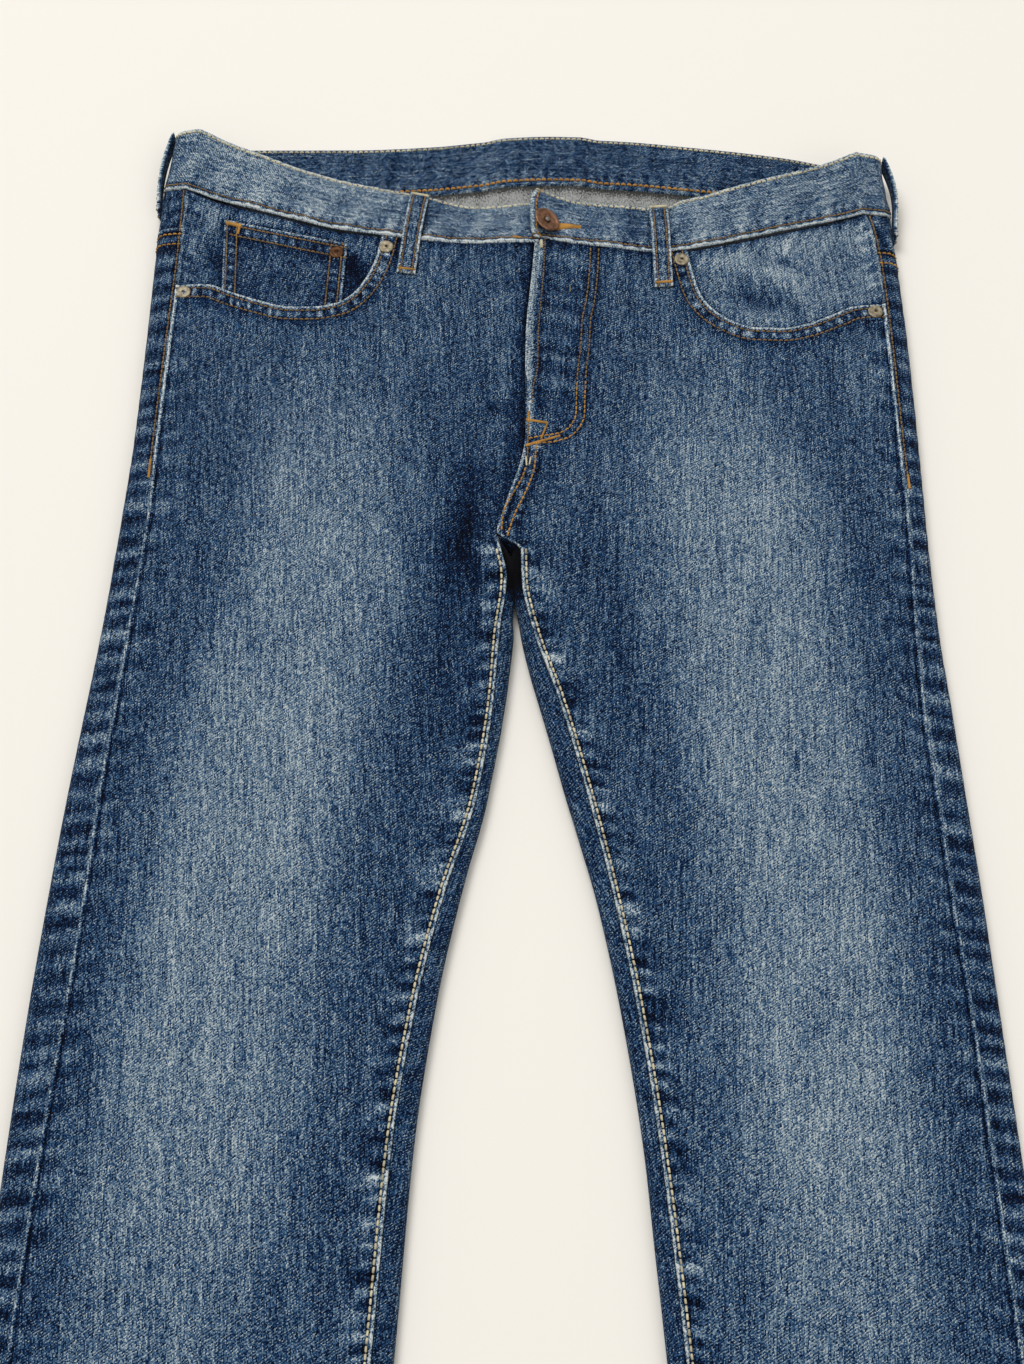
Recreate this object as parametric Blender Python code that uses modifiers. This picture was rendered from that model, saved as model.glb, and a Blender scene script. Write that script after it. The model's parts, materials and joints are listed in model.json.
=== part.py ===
"""Slim fit five-pocket jeans laid flat, face up, on a level surface.

The wearer's right side lies at -X and the left side at +X. The waist is at +Y, the hems
are at -Y, and the cloth rests on the plane z = 0. Every cloth piece is an open sheet that
is shaped by the rules below and thickened to a wall. Lengths in the tables and in the
shape rules are millimetres, and a sheet's points become metres when it is built.
"""

import math

import bmesh
import bpy
import numpy as np
from mathutils import Vector

MM = 0.001

# Thicknesses
CLOTH = 1.2  # one layer of denim
BAND = 2.6  # waistband: folded denim with its interlining
STRAP = 2.2  # belt loop: denim folded in three
SEAM = 0.3  # clearance between two pieces that are sewn together
LAYER = CLOTH + SEAM  # from one layer's middle to the middle of the layer on it

# Places along the garment
HEM_Y = -554.1
WAIST_EASE = 0.4  # keeps the panels' straight cells clear of the waistband's finer curve
CROTCH_Y = 250.0  # the centre seams end here
CROTCH_JOIN_Y = 244.0  # below this the front and back legs meet along the inseam
FLY_END_Y = 312.0  # foot of the fly, where the lap is sewn down
SIDE_WAIST_Y = 495.0  # about where the waistband's seam crosses the outseam
BACK_WAIST_Y = 513.0  # the waistband's seam at the centre back
BACK_LOOP_Y = 520.0  # middle of the centre back loop
LAP_TOP_Y = 455.0  # top of the lap, at the waistband's seam
PROUD_FROM_Y = 346.0  # above this the facing's edge shows beside the lap's edge
PROUD_EASE = 16.0  # length over which it comes out

# One row for each station along a leg, measured on the laid garment. front_edge is the
# centre front above the crotch and the inseam below it.
LEG_COLUMNS = ("y", "outer_fold", "outseam", "front_edge")
RIGHT_LEG = (
    (515.0, -221.0, -206.5, 10.5),
    (465.0, -223.0, -207.0, 10.5),
    (385.0, -224.5, -210.0, 4.5),
    (315.0, -226.5, -212.5, 3.5),
    (265.0, -229.5, -213.5, -8.5),
    (250.0, -230.5, -214.5, -12.5),
    (238.0, -231.5, -215.5, -9.5),
    (222.0, -232.5, -216.5, -6.5),
    (186.0, -235.5, -219.5, -10.5),
    (146.0, -239.5, -222.5, -13.5),
    (86.0, -245.5, -227.5, -22.5),
    (26.0, -250.5, -230.5, -40.0),
    (-30.0, -254.5, -234.5, -52.5),
    (-105.0, -258.5, -240.5, -63.5),
    (-215.0, -263.0, -247.0, -71.5),
    (-375.0, -268.5, -251.5, -84.0),
    (HEM_Y, -273.0, -256.0, -96.5),
)
LEFT_LEG = (
    (500.0, 231.5, 212.0, 10.5),
    (465.0, 232.5, 219.5, 10.5),
    (435.0, 234.0, 222.0, 8.5),
    (385.0, 235.5, 223.5, 4.5),
    (315.0, 236.0, 224.5, 3.5),
    (265.0, 236.0, 225.5, -8.5),
    (250.0, 236.0, 225.5, -12.5),
    (239.0, 236.2, 225.5, 1.5),
    (220.0, 236.5, 225.0, 2.0),
    (186.0, 237.5, 224.5, 9.0),
    (146.0, 240.0, 224.5, 22.0),
    (86.0, 243.5, 227.5, 37.5),
    (26.0, 247.0, 230.5, 50.5),
    (-30.0, 249.5, 234.5, 60.5),
    (-105.0, 253.0, 238.0, 70.5),
    (-215.0, 258.0, 243.0, 80.5),
    (-375.0, 265.5, 250.0, 91.5),
    (HEM_Y, 273.0, 257.0, 99.0),
)

# How the back leg turns up at its inner side: flat under the seat, upright at the crotch
# and folded over on to the front below it.
INNER_TURN_COLUMNS = ("y", "turn_degrees", "radius", "right_run", "left_run")
INNER_TURN = (
    (340.0, 0.0, 16.5, 0.0, 0.0),
    (322.0, 8.0, 16.5, 0.0, 0.0),
    (302.0, 26.0, 16.5, 0.0, 0.0),
    (284.0, 48.0, 16.5, 0.0, 0.0),
    (266.0, 68.0, 16.5, 0.0, 0.0),
    (CROTCH_Y, 82.0, 16.5, 0.0, 0.0),
    (CROTCH_JOIN_Y, 92.0, 16.5, 0.0, 0.0),
    (226.0, 115.0, 11.2, 0.0, 0.0),
    (208.0, 150.0, 7.0, 0.2, 0.2),
    (198.0, 160.0, 6.6, 0.8, 0.8),
    (186.0, 168.0, 6.2, 2.2, 1.6),
    (146.0, 172.0, 5.7, 0.9, 5.4),
    (95.0, 172.0, 5.3, 0.2, 6.2),
    (60.0, 172.0, 5.3, 1.2, 5.0),
    (25.0, 172.0, 5.4, 3.2, 3.4),
    (-105.0, 172.0, 5.3, 5.4, 2.6),
    (-170.0, 172.0, 5.2, 5.6, 3.6),
    (HEM_Y, 172.0, 4.8, 5.0, 3.8),
)
OUTER_TURN_DEGREES = 172.0

# (y, value) pairs
OUTER_RADIUS = ((HEM_Y, 4.8), (-100.0, 5.6), (150.0, 6.0), (300.0, 6.6), (515.0, 6.6))
CROWN = ((HEM_Y, 1.2), (-200.0, 2.4), (120.0, 3.6), (300.0, 2.6), (515.0, 1.6))
FRONT_CENTRE_HEIGHT = ((244.0, 17.7), (300.0, 18.6), (400.0, 19.0), (515.0, 18.4))
INNER_LEVEL = ((HEM_Y, 10.6), (25.0, 12.4), (120.0, 13.6), (230.0, 16.6), (330.0, 18.8), (515.0, 18.6))
CENTRE_BACK = ((250.0, -12.5), (266.0, -9.0), (315.0, 0.0), (465.0, 12.0), (520.0, 15.5))

# (x, y) pairs of the seam between the waistband and the panels
RIGHT_FRONT_WAIST = (
    (-218.0, 506.0),
    (-205.0, 501.5),
    (-188.0, 493.3),
    (-163.0, 484.6),
    (-138.0, 476.3),
    (-112.0, 468.2),
    (-87.0, 463.6),
    (-58.5, 458.8),
    (-27.0, 456.2),
    (0.0, 457.4),
    (60.0, 457.4),
)
LEFT_FRONT_WAIST = (
    (0.0, 460.5),
    (10.5, 459.0),
    (38.5, 453.2),
    (81.5, 449.0),
    (97.0, 451.0),
    (115.0, 454.6),
    (140.0, 461.0),
    (165.0, 468.0),
    (190.0, 474.6),
    (204.0, 478.8),
    (216.0, 482.8),
    (232.0, 485.5),
)
BACK_WAIST = (
    (-222.0, 507.5),
    (-163.0, 506.0),
    (-105.0, 506.0),
    (-54.0, 508.5),
    (-15.0, 513.0),
    (19.0, 515.0),
    (61.0, 513.5),
    (112.0, 508.0),
    (165.0, 500.5),
    (210.0, 491.0),
    (233.0, 486.5),
)
YOKE_SIDE_Y = {-1: 472.0, 1: 457.5}  # yoke seam where it meets the outseam
YOKE_CENTRE_Y = 446.0  # yoke seam at the centre back

# (x, y) of the front pocket mouth, from the outseam round to the waistband
RIGHT_MOUTH = (
    (-189.5, 427.3),
    (-172.5, 420.5),
    (-155.5, 413.6),
    (-139.5, 409.2),
    (-123.5, 408.4),
    (-108.5, 411.4),
    (-99.5, 418.5),
    (-91.5, 431.5),
    (-86.5, 446.0),
)
LEFT_MOUTH = (
    (204.5, 411.5),
    (191.5, 405.0),
    (174.5, 397.0),
    (158.5, 393.5),
    (142.5, 393.5),
    (126.5, 399.5),
    (115.5, 409.5),
    (109.5, 421.5),
    (106.0, 437.5),
)
MOUTH_TOP_X = {-1: -83.5, 1: 103.5}
MOUTH_END_Y = {-1: 427.5, 1: 413.5}

# How the waistband's top edge stands off its seam: distance along the seam from the
# centre front, then the top edge's offset sideways, along the garment and upwards.
BAND_LEAN_COLUMNS = ("along", "aside", "up_garment", "rise")
RIGHT_BAND_LEAN = (
    (-50.0, -1.0, 36.6, -8.0),
    (0.0, 0.0, 36.6, -8.5),
    (22.0, 1.0, 36.2, -10.5),
    (38.0, 2.0, 36.2, -10.5),
    (54.0, 3.0, 36.8, -8.5),
    (70.0, 4.0, 37.6, -5.5),
    (98.0, 5.0, 38.0, -4.0),
    (124.0, 6.0, 38.0, -2.0),
    (150.0, 6.5, 38.0, -0.5),
    (176.0, 7.0, 38.0, 4.2),
    (204.0, 7.0, 38.0, 9.4),
    (222.0, 7.0, 38.4, 11.6),
    (237.0, 7.5, 38.4, 9.6),
    (252.0, 8.0, 38.4, 4.0),
    (268.0, 6.0, 38.5, 0.4),
    (310.0, 1.0, 39.0, 0.0),
    (500.0, 0.0, 39.2, 0.0),
)
LEFT_BAND_LEAN = (
    (-6.0, -1.0, 38.4, 0.6),
    (0.0, -0.5, 38.2, 0.2),
    (18.0, 1.0, 37.6, -5.0),
    (30.0, 3.0, 37.2, -7.0),
    (48.0, 5.0, 37.4, -6.8),
    (74.0, 4.5, 37.6, -5.2),
    (84.0, 4.0, 37.9, -3.6),
    (94.0, 3.0, 38.2, 0.4),
    (106.0, 2.0, 38.5, 0.8),
    (120.0, 1.0, 38.5, 3.0),
    (146.0, 0.0, 38.5, 5.6),
    (172.0, -0.5, 38.5, 7.2),
    (186.0, -1.0, 38.4, 8.6),
    (198.0, -2.0, 38.1, 11.0),
    (212.0, -4.0, 37.5, 13.6),
    (226.0, -6.0, 37.5, 12.6),
    (242.0, -6.5, 37.8, 5.5),
    (256.0, -5.0, 38.2, 0.4),
    (300.0, -1.0, 39.0, 0.0),
    (480.0, 0.0, 39.2, 0.0),
)
UNDERLAP = 40.0  # length of waistband under the lap
LAP_EDGE_X = 8.0  # end of the lap at the waistband
LAP_LIFT = 3.0  # the lap lies on the two layers of the fly
FLY_FACING_PROUD = 2.6  # how far the facing's rolled edge shows beside the lap's edge
FACING_FOOT_SET = 0.2  # how far the facing's edge stands off the centre front elsewhere
FACING_FOOT_Y = 317.0
SHIELD_FOOT_Y = 322.0
SHIELD_SIDES = (-9.0, 36.0)  # the fly shield's edges, from the centre front

# Soft folds of the front: where each runs, how wide and how high it stands
FOLD_COLUMNS = ("side", "top_x", "top_y", "foot_x", "foot_y", "width", "height")
FOLDS = (
    (-1, -16.0, 275.0, -27.0, 120.0, 11.0, 1.8),
    (-1, -42.0, 262.0, -52.0, 90.0, 15.0, -2.2),
    (-1, -105.0, 210.0, -120.0, -40.0, 26.0, 1.2),
    (-1, -190.0, 170.0, -212.0, -80.0, 18.0, -1.0),
    (-1, -150.0, -60.0, -165.0, -330.0, 24.0, -1.0),
    (1, 42.0, 240.0, 92.0, 60.0, 15.0, -1.4),
    (1, 70.0, 230.0, 118.0, 20.0, 18.0, 1.2),
    (1, 178.0, 200.0, 192.0, -30.0, 22.0, -1.0),
    (1, 130.0, 10.0, 150.0, -220.0, 26.0, 1.2),
    (1, 205.0, -90.0, 215.0, -330.0, 20.0, -1.0),
)

# Loops, pockets and hardware
LOOP_WIDTH = 11.5
FRONT_LOOP_X = {-1: (-60.5, -68.0), 1: (87.0, 88.5)}  # a front loop's top and foot
LOOP_FOOT = 27.5  # how far a loop runs on below the waistband
SIDE_LOOP_BOW = {-1: 2.4, 1: 3.9}  # clearance under the middle of a side loop
COIN_CORNERS = ((-181.5, 478.0), (-104.5, 457.0), (-107.0, 403.0), (-180.0, 416.5))
BACK_POCKET_WIDTH = 142.0
BACK_POCKET_HEIGHT = 160.0
BACK_POCKET_CENTRE = {-1: (-112.0, 342.0), 1: (122.0, 340.0)}
BACK_POCKET_TAPER = 18.0  # how much narrower a back pocket is at its foot
BACK_POCKET_POINT = 18.0  # how far its point hangs below its corners
# The back is lifted over a pocket or loop under it: the lift runs on level past the edge
# and then eases out.
POCKET_MARGIN, POCKET_EASE = 28.0, 20.0
LOOP_MARGIN, LOOP_REACH, LOOP_EASE = 18.0, 50.0, 14.0
RIVET_RADIUS = 4.6
RIVET_PLACES = {
    "rivet_right_outer": (-1, -203.0, 421.5),
    "rivet_right_inner": (-1, -80.5, 453.0),
    "rivet_left_inner": (1, 100.0, 443.5),
    "rivet_left_outer": (1, 216.0, 407.0),
}
COIN_RIVET_PLACE = (-111.0, 450.5)
BUTTON_RADIUS = 8.5
BUTTON_PLACE = (15.8, 467.4)
BUTTON_AXIS = (0.49, 0.06, 0.87)  # the button leans back from the end of the lap
BUTTON_STAND = 1.1  # height of the button's collar over the lap
SHANK_RADIUS = 1.8
SLOT_START_X, SLOT_LENGTH, SLOT_WIDTH = 11.0, 21.0, 4.4  # buttonhole

# Rows of the legs' grids. The rows above COMMON_Y belong to the front or back alone.
COMMON_Y = (316.0, 302.0, 288.0, 276.0, 263.0, CROTCH_Y, CROTCH_JOIN_Y, 238.0, 226.0)
LOWER_Y = (212.0, 198.0, 184.0, 164.0, 140.0, 112.0, 80.0, 44.0, 6.0, -34.0, -78.0)
FOOT_Y = (-126.0, -180.0, -240.0, -306.0, -380.0, -464.0, HEM_Y)
STATIONS = COMMON_Y + LOWER_Y + FOOT_Y

COLOURS = {
    "denim": (0.060, 0.125, 0.245),
    "copper": (0.30, 0.14, 0.08),
    "nickel": (0.42, 0.37, 0.28),
}


def curve_through(pairs):
    """A smooth curve without overshoot through (place, value) pairs."""
    ordered = sorted(pairs)
    place = np.array([p[0] for p in ordered], float)
    value = np.array([p[1] for p in ordered], float)
    step = np.diff(place)
    rise = np.diff(value) / step
    slope = np.zeros(len(place))
    slope[0], slope[-1] = rise[0], rise[-1]
    for k in range(1, len(place) - 1):
        if rise[k - 1] * rise[k] > 0:
            slope[k] = 2 * rise[k - 1] * rise[k] / (rise[k - 1] + rise[k])

    def at(where):
        where = min(max(where, place[0]), place[-1])
        k = min(int(np.searchsorted(place, where, "right")) - 1, len(step) - 1)
        t = (where - place[k]) / step[k]
        start = value[k] * (1 + 2 * t) * (1 - t) ** 2 + slope[k] * step[k] * t * (1 - t) ** 2
        end = value[k + 1] * t * t * (3 - 2 * t) + slope[k + 1] * step[k] * t * t * (t - 1)
        return float(start + end)

    return at


def column(rows, columns, name):
    """The curve of one named column of a table against the table's first column."""
    k = columns.index(name)
    return curve_through([(row[0], row[k]) for row in rows])


def ease(t):
    t = min(max(t, 0.0), 1.0)
    return t * t * (3 - 2 * t)


def mix(a, b, t):
    return a + (b - a) * t


outer_radius = curve_through(OUTER_RADIUS)
crown = curve_through(CROWN)
front_centre_height = curve_through(FRONT_CENTRE_HEIGHT)
inner_level = curve_through(INNER_LEVEL)
centre_back = curve_through(CENTRE_BACK)
back_waist = curve_through(BACK_WAIST)
inner_turn = column(INNER_TURN, INNER_TURN_COLUMNS, "turn_degrees")
inner_radius = column(INNER_TURN, INNER_TURN_COLUMNS, "radius")


class Half:
    """The curves of one half of the garment, -1 for the wearer's right and +1 for the left."""

    def __init__(self, sign):
        table = RIGHT_LEG if sign < 0 else LEFT_LEG
        self.sign = sign
        self.name = "right" if sign < 0 else "left"
        self.outer_fold = column(table, LEG_COLUMNS, "outer_fold")
        self.outseam = column(table, LEG_COLUMNS, "outseam")
        self.front_edge = column(table, LEG_COLUMNS, "front_edge")
        self.front_waist = curve_through(RIGHT_FRONT_WAIST if sign < 0 else LEFT_FRONT_WAIST)
        self.inner_run = column(INNER_TURN, INNER_TURN_COLUMNS, f"{self.name}_run")
        self.folds = [fold[1:] for fold in FOLDS if fold[0] == sign]

    def outer_profile(self, y):
        """Radius, turn and straight run of the side fold, which ends at the outseam."""
        radius = outer_radius(y)
        turn = math.radians(OUTER_TURN_DEGREES)
        strip = abs(self.outer_fold(y) - self.outseam(y)) - CLOTH / 2
        run = max(0.5, (strip - radius * (1 - math.sin(turn))) / -math.cos(turn))
        return radius, turn, run

    def inner_profile(self, y):
        """Radius, turn and straight run of the fold at the leg's inner side."""
        return inner_radius(y), math.radians(inner_turn(y)), self.inner_run(y)

    def waist_side_y(self):
        """Where the waistband's seam crosses the outseam."""
        return self.front_waist(self.outseam(SIDE_WAIST_Y))


RIGHT, LEFT = Half(-1), Half(1)
HALVES = (RIGHT, LEFT)


def end_height(radius, turn, run):
    """Height of a sheet that turns up from the surface and runs straight on."""
    return CLOTH / 2 + radius * (1 - math.cos(turn)) + run * math.sin(turn)


def inner_height(half, y):
    """Height of the front's inner edge: the inseam, or the centre front above the crotch."""
    if y > CROTCH_JOIN_Y:
        return front_centre_height(y)
    return end_height(*half.inner_profile(y))


def fold_relief(half, x, y):
    """Height that the soft folds add at a point of the front."""
    total = 0.0
    for top_x, top_y, foot_x, foot_y, width, height in half.folds:
        t = (y - top_y) / (foot_y - top_y)
        if 0.0 < t < 1.0:
            aside = (x - mix(top_x, foot_x, t)) / width
            total += height * math.sin(math.pi * t) ** 2 * math.exp(-aside * aside)
    return total


def top_height(half, x, y):
    """Height of the middle of the front's cloth above the surface it lies on."""
    outer, inner = half.outseam(y), half.front_edge(y)
    u = min(max((x - outer) / (inner - outer), -0.2), 1.2)
    level = mix(end_height(*half.outer_profile(y)), inner_level(y), u)
    level += (inner_height(half, y) - inner_level(y)) * ease(max(u, 0.0)) ** 4
    edge = ease(min(u, 1 - u) * 6)
    return level + crown(y) * (1 - (2 * u - 1) ** 2) + edge * fold_relief(half, x, y)


def lap_lift(x, y):
    """How far the left front is lifted where it laps over the fly."""
    beyond = x - LEFT.front_edge(y)
    return LAP_LIFT * ease((y - FLY_END_Y) / 40) * (1 - ease((beyond - 48) / 35))


def set_back(half, y):
    """How far the lap's edge lies back, so that the facing's rolled edge shows beside it."""
    return FLY_FACING_PROUD * ease((y - PROUD_FROM_Y) / PROUD_EASE) if half.sign > 0 else 0.0


def outside_distance(x, y, centre, half_width, half_height):
    """Distance of a point outside a rectangle, 0 inside it."""
    aside = max(abs(x - centre[0]) - half_width, 0.0)
    along = max(abs(y - centre[1]) - half_height, 0.0)
    return math.hypot(aside, along)


def underside_rise(x, y):
    """How far the back is pushed up by the pocket or the belt loop that lies under it."""
    loop_size = (LOOP_WIDTH / 2 + LOOP_MARGIN, LOOP_REACH)
    loop = outside_distance(x, y, (centre_back(BACK_LOOP_Y), BACK_LOOP_Y), *loop_size)
    rise = (STRAP + SEAM) * (1 - ease(loop / LOOP_EASE))
    for half in HALVES:
        size = (BACK_POCKET_WIDTH / 2 + POCKET_MARGIN, BACK_POCKET_HEIGHT / 2 + POCKET_MARGIN)
        pocket = outside_distance(x, y, BACK_POCKET_CENTRE[half.sign], *size)
        rise = max(rise, LAYER * (1 - ease(pocket / POCKET_EASE)))
    return rise


def back_edge(half, y):
    """Inner edge of the back: the centre back, or beside the inseam below the crotch."""
    upright = CLOTH / 2 * math.sin(math.radians(inner_turn(y)))
    if y >= CROTCH_Y:
        return centre_back(y) + half.sign * (SEAM / 2 + upright)
    return half.front_edge(y) - half.sign * (SEAM * 1.5 + upright)


def turned(start, radius, turn, run, steps):
    """(outward, height) points of a sheet that leaves the surface at start, turns and runs on."""
    points = []
    for k in range(steps + 1):
        angle = turn * k / steps
        out = start + radius * math.sin(angle)
        points.append((out, CLOTH / 2 + radius * (1 - math.cos(angle))))
    last = points[-1]
    points.append((last[0] + run * math.cos(turn), last[1] + run * math.sin(turn)))
    return points


# Columns of the back's grid, by stretch of the way round a leg
STRIP_COLUMNS, FOLD_COLUMNS_OUT, UNDER_COLUMNS, INNER_COLUMNS = 1, 6, 6, 9
INNER_SPAN = 32.0  # length of cloth at the inner edge that the last columns share
BACK_COLUMNS = STRIP_COLUMNS + FOLD_COLUMNS_OUT + UNDER_COLUMNS + INNER_COLUMNS


def back_row(half, y_out, y_in, under_y=None):
    """Points of one row of the back, from the outseam over the side fold to the inner edge."""
    sign = half.sign
    radius, turn, run = half.outer_profile(y_out)
    fold_start = sign * half.outer_fold(y_out) - CLOTH / 2 - radius
    outer = turned(fold_start, radius, turn, run, 24)
    outer[-1] = (outer[-1][0] + SEAM / 2, outer[-1][1])
    radius, turn, run = half.inner_profile(y_in)
    inner_end = -sign * back_edge(half, y_in)
    inner_start = inner_end - radius * math.sin(turn) - run * math.cos(turn)
    inner = [(-out, z) for out, z in turned(inner_start, radius, turn, run, 24)]

    way = outer[::-1] + inner
    lengths = np.concatenate([[0], np.cumsum(np.hypot(*np.diff(np.array(way), axis=0).T))])
    strip_end, fold_end, total = lengths[1], lengths[25], lengths[-1]
    under_end = total - INNER_SPAN
    stops = [strip_end * k / STRIP_COLUMNS for k in range(STRIP_COLUMNS)]
    stops += [mix(strip_end, fold_end, k / FOLD_COLUMNS_OUT) for k in range(FOLD_COLUMNS_OUT)]
    stops += [mix(fold_end, under_end, k / UNDER_COLUMNS) for k in range(UNDER_COLUMNS)]
    stops += [mix(under_end, total, k / INNER_COLUMNS) for k in range(INNER_COLUMNS + 1)]
    outs = np.interp(stops, lengths, [p[0] for p in way])
    heights = np.interp(stops, lengths, [p[1] for p in way])
    points = []
    for stop, out, height in zip(stops, outs, heights):
        x = sign * out
        y = mix(y_out, y_in, ease((stop - fold_end) / (under_end - fold_end)))
        if under_y is not None and stop > strip_end:
            y = mix(y, under_y(x), ease((stop - strip_end) / (fold_end - strip_end)))
        flat = 1 - ease((height - CLOTH / 2) / 4)
        points.append((x, y, height + flat * underside_rise(x, y)))
    return points


def back_rows(half):
    """Rows of the back leg from the yoke seam to the hem."""
    side_y, centre_y = YOKE_SIDE_Y[half.sign] - SEAM / 2, YOKE_CENTRE_Y - SEAM / 2
    mouth_end = MOUTH_END_Y[half.sign]
    outer = (side_y, mix(side_y, mouth_end, 0.5), mouth_end, 390.0, 366.0, 340.0)
    inner = (centre_y, 430.0, 408.0, 384.0, 362.0, 338.0)
    pairs = list(zip(outer, inner)) + [(y, y) for y in STATIONS]
    return [back_row(half, y_out, y_in) for y_out, y_in in pairs]


def yoke_rows(half, count=5):
    """Rows of the yoke, from the waistband's seam to the yoke seam."""
    rows = []
    below = SEAM + WAIST_EASE
    for k in range(count + 1):
        t = k / count
        y_out = mix(half.waist_side_y() - below, YOKE_SIDE_Y[half.sign] + SEAM / 2, t)
        y_in = mix(back_waist(centre_back(BACK_WAIST_Y)) - below, YOKE_CENTRE_Y + SEAM / 2, t)
        share = 1 - t

        def under_y(x, share=share, y_out=y_out, y_in=y_in):
            across = ease((x - half.outer_fold(y_out)) / (back_edge(half, y_in) - half.outer_fold(y_out)))
            return mix(mix(y_out, y_in, across), back_waist(x) - below, share)

        rows.append(back_row(half, y_out, y_in, under_y))
    return rows


def mouth_curve(half):
    """The pocket mouth as a function of the share of its length, from the outseam."""
    end_y = MOUTH_END_Y[half.sign]
    top_x = MOUTH_TOP_X[half.sign]
    points = [(half.outseam(end_y) - half.sign * SEAM / 2, end_y)]
    points += RIGHT_MOUTH if half.sign < 0 else LEFT_MOUTH
    points += [(top_x, half.front_waist(top_x) - SEAM)]
    lengths = np.concatenate([[0], np.cumsum(np.hypot(*np.diff(np.array(points), axis=0).T))])
    share = lengths / lengths[-1]
    x_at = curve_through(list(zip(share, [p[0] for p in points])))
    y_at = curve_through(list(zip(share, [p[1] for p in points])))
    return lambda t: (x_at(t), y_at(t))


MOUTH_COLUMNS, WAIST_COLUMNS = 9, 5


def front_rows(half):
    """Rows of a front leg: the top row follows the pocket mouth and the waistband's seam."""
    mouth = mouth_curve(half)
    columns = MOUTH_COLUMNS + WAIST_COLUMNS
    top = [mouth(k / MOUTH_COLUMNS) for k in range(MOUTH_COLUMNS)]
    inner_x = half.front_edge(LAP_TOP_Y) + half.sign * SEAM / 2 + set_back(half, LAP_TOP_Y)
    for k in range(WAIST_COLUMNS + 1):
        x = mix(MOUTH_TOP_X[half.sign], inner_x, k / WAIST_COLUMNS)
        top.append((x, half.front_waist(x) - SEAM - WAIST_EASE))

    mouth_end = MOUTH_END_Y[half.sign]
    outer = (mouth_end, 390.0, 366.0, 340.0)
    inner = (top[-1][1], 422.0, 384.0, 348.0)
    pairs = list(zip(outer, inner)) + [(y, y) for y in STATIONS]
    shaped = pairs.index((263.0, 263.0))
    rows = []
    for k, (y_out, y_in) in enumerate(pairs):
        pull = (1 - k / shaped) ** 2 if k < shaped else 0.0
        points = []
        for c, (top_x, top_y) in enumerate(top):
            share = c / columns
            y = mix(y_out, y_in, share) + pull * (top_y - mix(mouth_end, top[-1][1], share))
            top_share = (top_x - half.outseam(top_y)) / (half.front_edge(top_y) - half.outseam(top_y))
            across = mix(share, top_share, pull)
            outer_x = half.outseam(y) - half.sign * SEAM / 2
            edge_x = half.front_edge(y) + half.sign * SEAM / 2 + set_back(half, y)
            x = top_x if k == 0 else mix(outer_x, edge_x, min(max(across, 0.0), 1.0))
            lift = lap_lift(x, y) if half.sign > 0 else 0.0
            points.append((x, y, top_height(half, x, y) + lift))
        rows.append(points)
    return rows


def facing_height(half, x, y):
    """The pocket facing hangs one layer under the front, and two in the middle."""
    side = abs(x - half.outseam(y)) - 2
    top = half.front_waist(x) - y - 2
    return top_height(half, x, y) - LAYER * (1 + ease(side / 14) * ease(top / 14))


def facing_rows(half, count_x=12, count_y=7):
    """Rows of the pocket facing, seen in the pocket mouth and tucked under its edge."""
    mouth = mouth_curve(half)
    samples = sorted(mouth(k / 60) for k in range(61))
    mouth_y = curve_through([(x + k * 1e-6, y) for k, (x, y) in enumerate(samples)])
    inner_x = MOUTH_TOP_X[half.sign] - half.sign * 10
    rows = []
    for r in range(count_y + 1):
        points = []
        for c in range(count_x + 1):
            share = c / count_x
            outer_x = half.outseam(460.0) - half.sign * (SEAM + 0.4)
            x = mix(outer_x, inner_x, share)
            top_y = half.front_waist(x) - SEAM - 0.2
            foot_y = mouth_y(x) - 18 if abs(x - inner_x) > 12 else mouth_y(x) - 30
            y = mix(top_y, min(foot_y, top_y - 12), r / count_y)
            x = mix(half.outseam(y) - half.sign * (SEAM + 0.4), inner_x, share)
            points.append((x, y, facing_height(half, x, y)))
        rows.append(points)
    return rows


def coin_pocket_rows(count_x=8, count_y=5):
    """Rows of the coin pocket, a patch on the right facing that runs under the mouth."""
    (ax, ay), (bx, by), (cx, cy), (dx, dy) = COIN_CORNERS
    rows = []
    for r in range(count_y + 1):
        t = r / count_y
        left, right = (mix(ax, dx, t), mix(ay, dy, t)), (mix(bx, cx, t), mix(by, cy, t))
        points = []
        for c in range(count_x + 1):
            u = c / count_x
            x, y = mix(left[0], right[0], u), mix(left[1], right[1], u)
            points.append((x, y, facing_height(RIGHT, x, y) + LAYER))
        rows.append(points)
    return rows


FLY_FACING_WIDTH = ((316.0, 14.0), (322.0, 30.0), (345.0, 40.0), (456.0, 43.0))


def fly_facing_rows(count_x=5, count_y=12):
    """Rows of the buttonhole facing, under the lap and proud of its edge."""
    width = curve_through(FLY_FACING_WIDTH)
    rows = []
    for r in range(count_y + 1):
        y = mix(LEFT.front_waist(20.0) - SEAM - 1.0, FACING_FOOT_Y, r / count_y)
        edge = LEFT.front_edge(y)
        start = edge + mix(FLY_FACING_PROUD, FACING_FOOT_SET, ease((y - PROUD_FROM_Y) / PROUD_EASE))
        points = []
        for c in range(count_x + 1):
            x = mix(start, edge + width(y), c / count_x)
            y_here = min(y, LEFT.front_waist(x) - SEAM - 0.6)
            height = top_height(LEFT, x, y_here) + lap_lift(x, y_here) - LAYER
            points.append((x, y_here, height))
        rows.append(points)
    return rows


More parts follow.
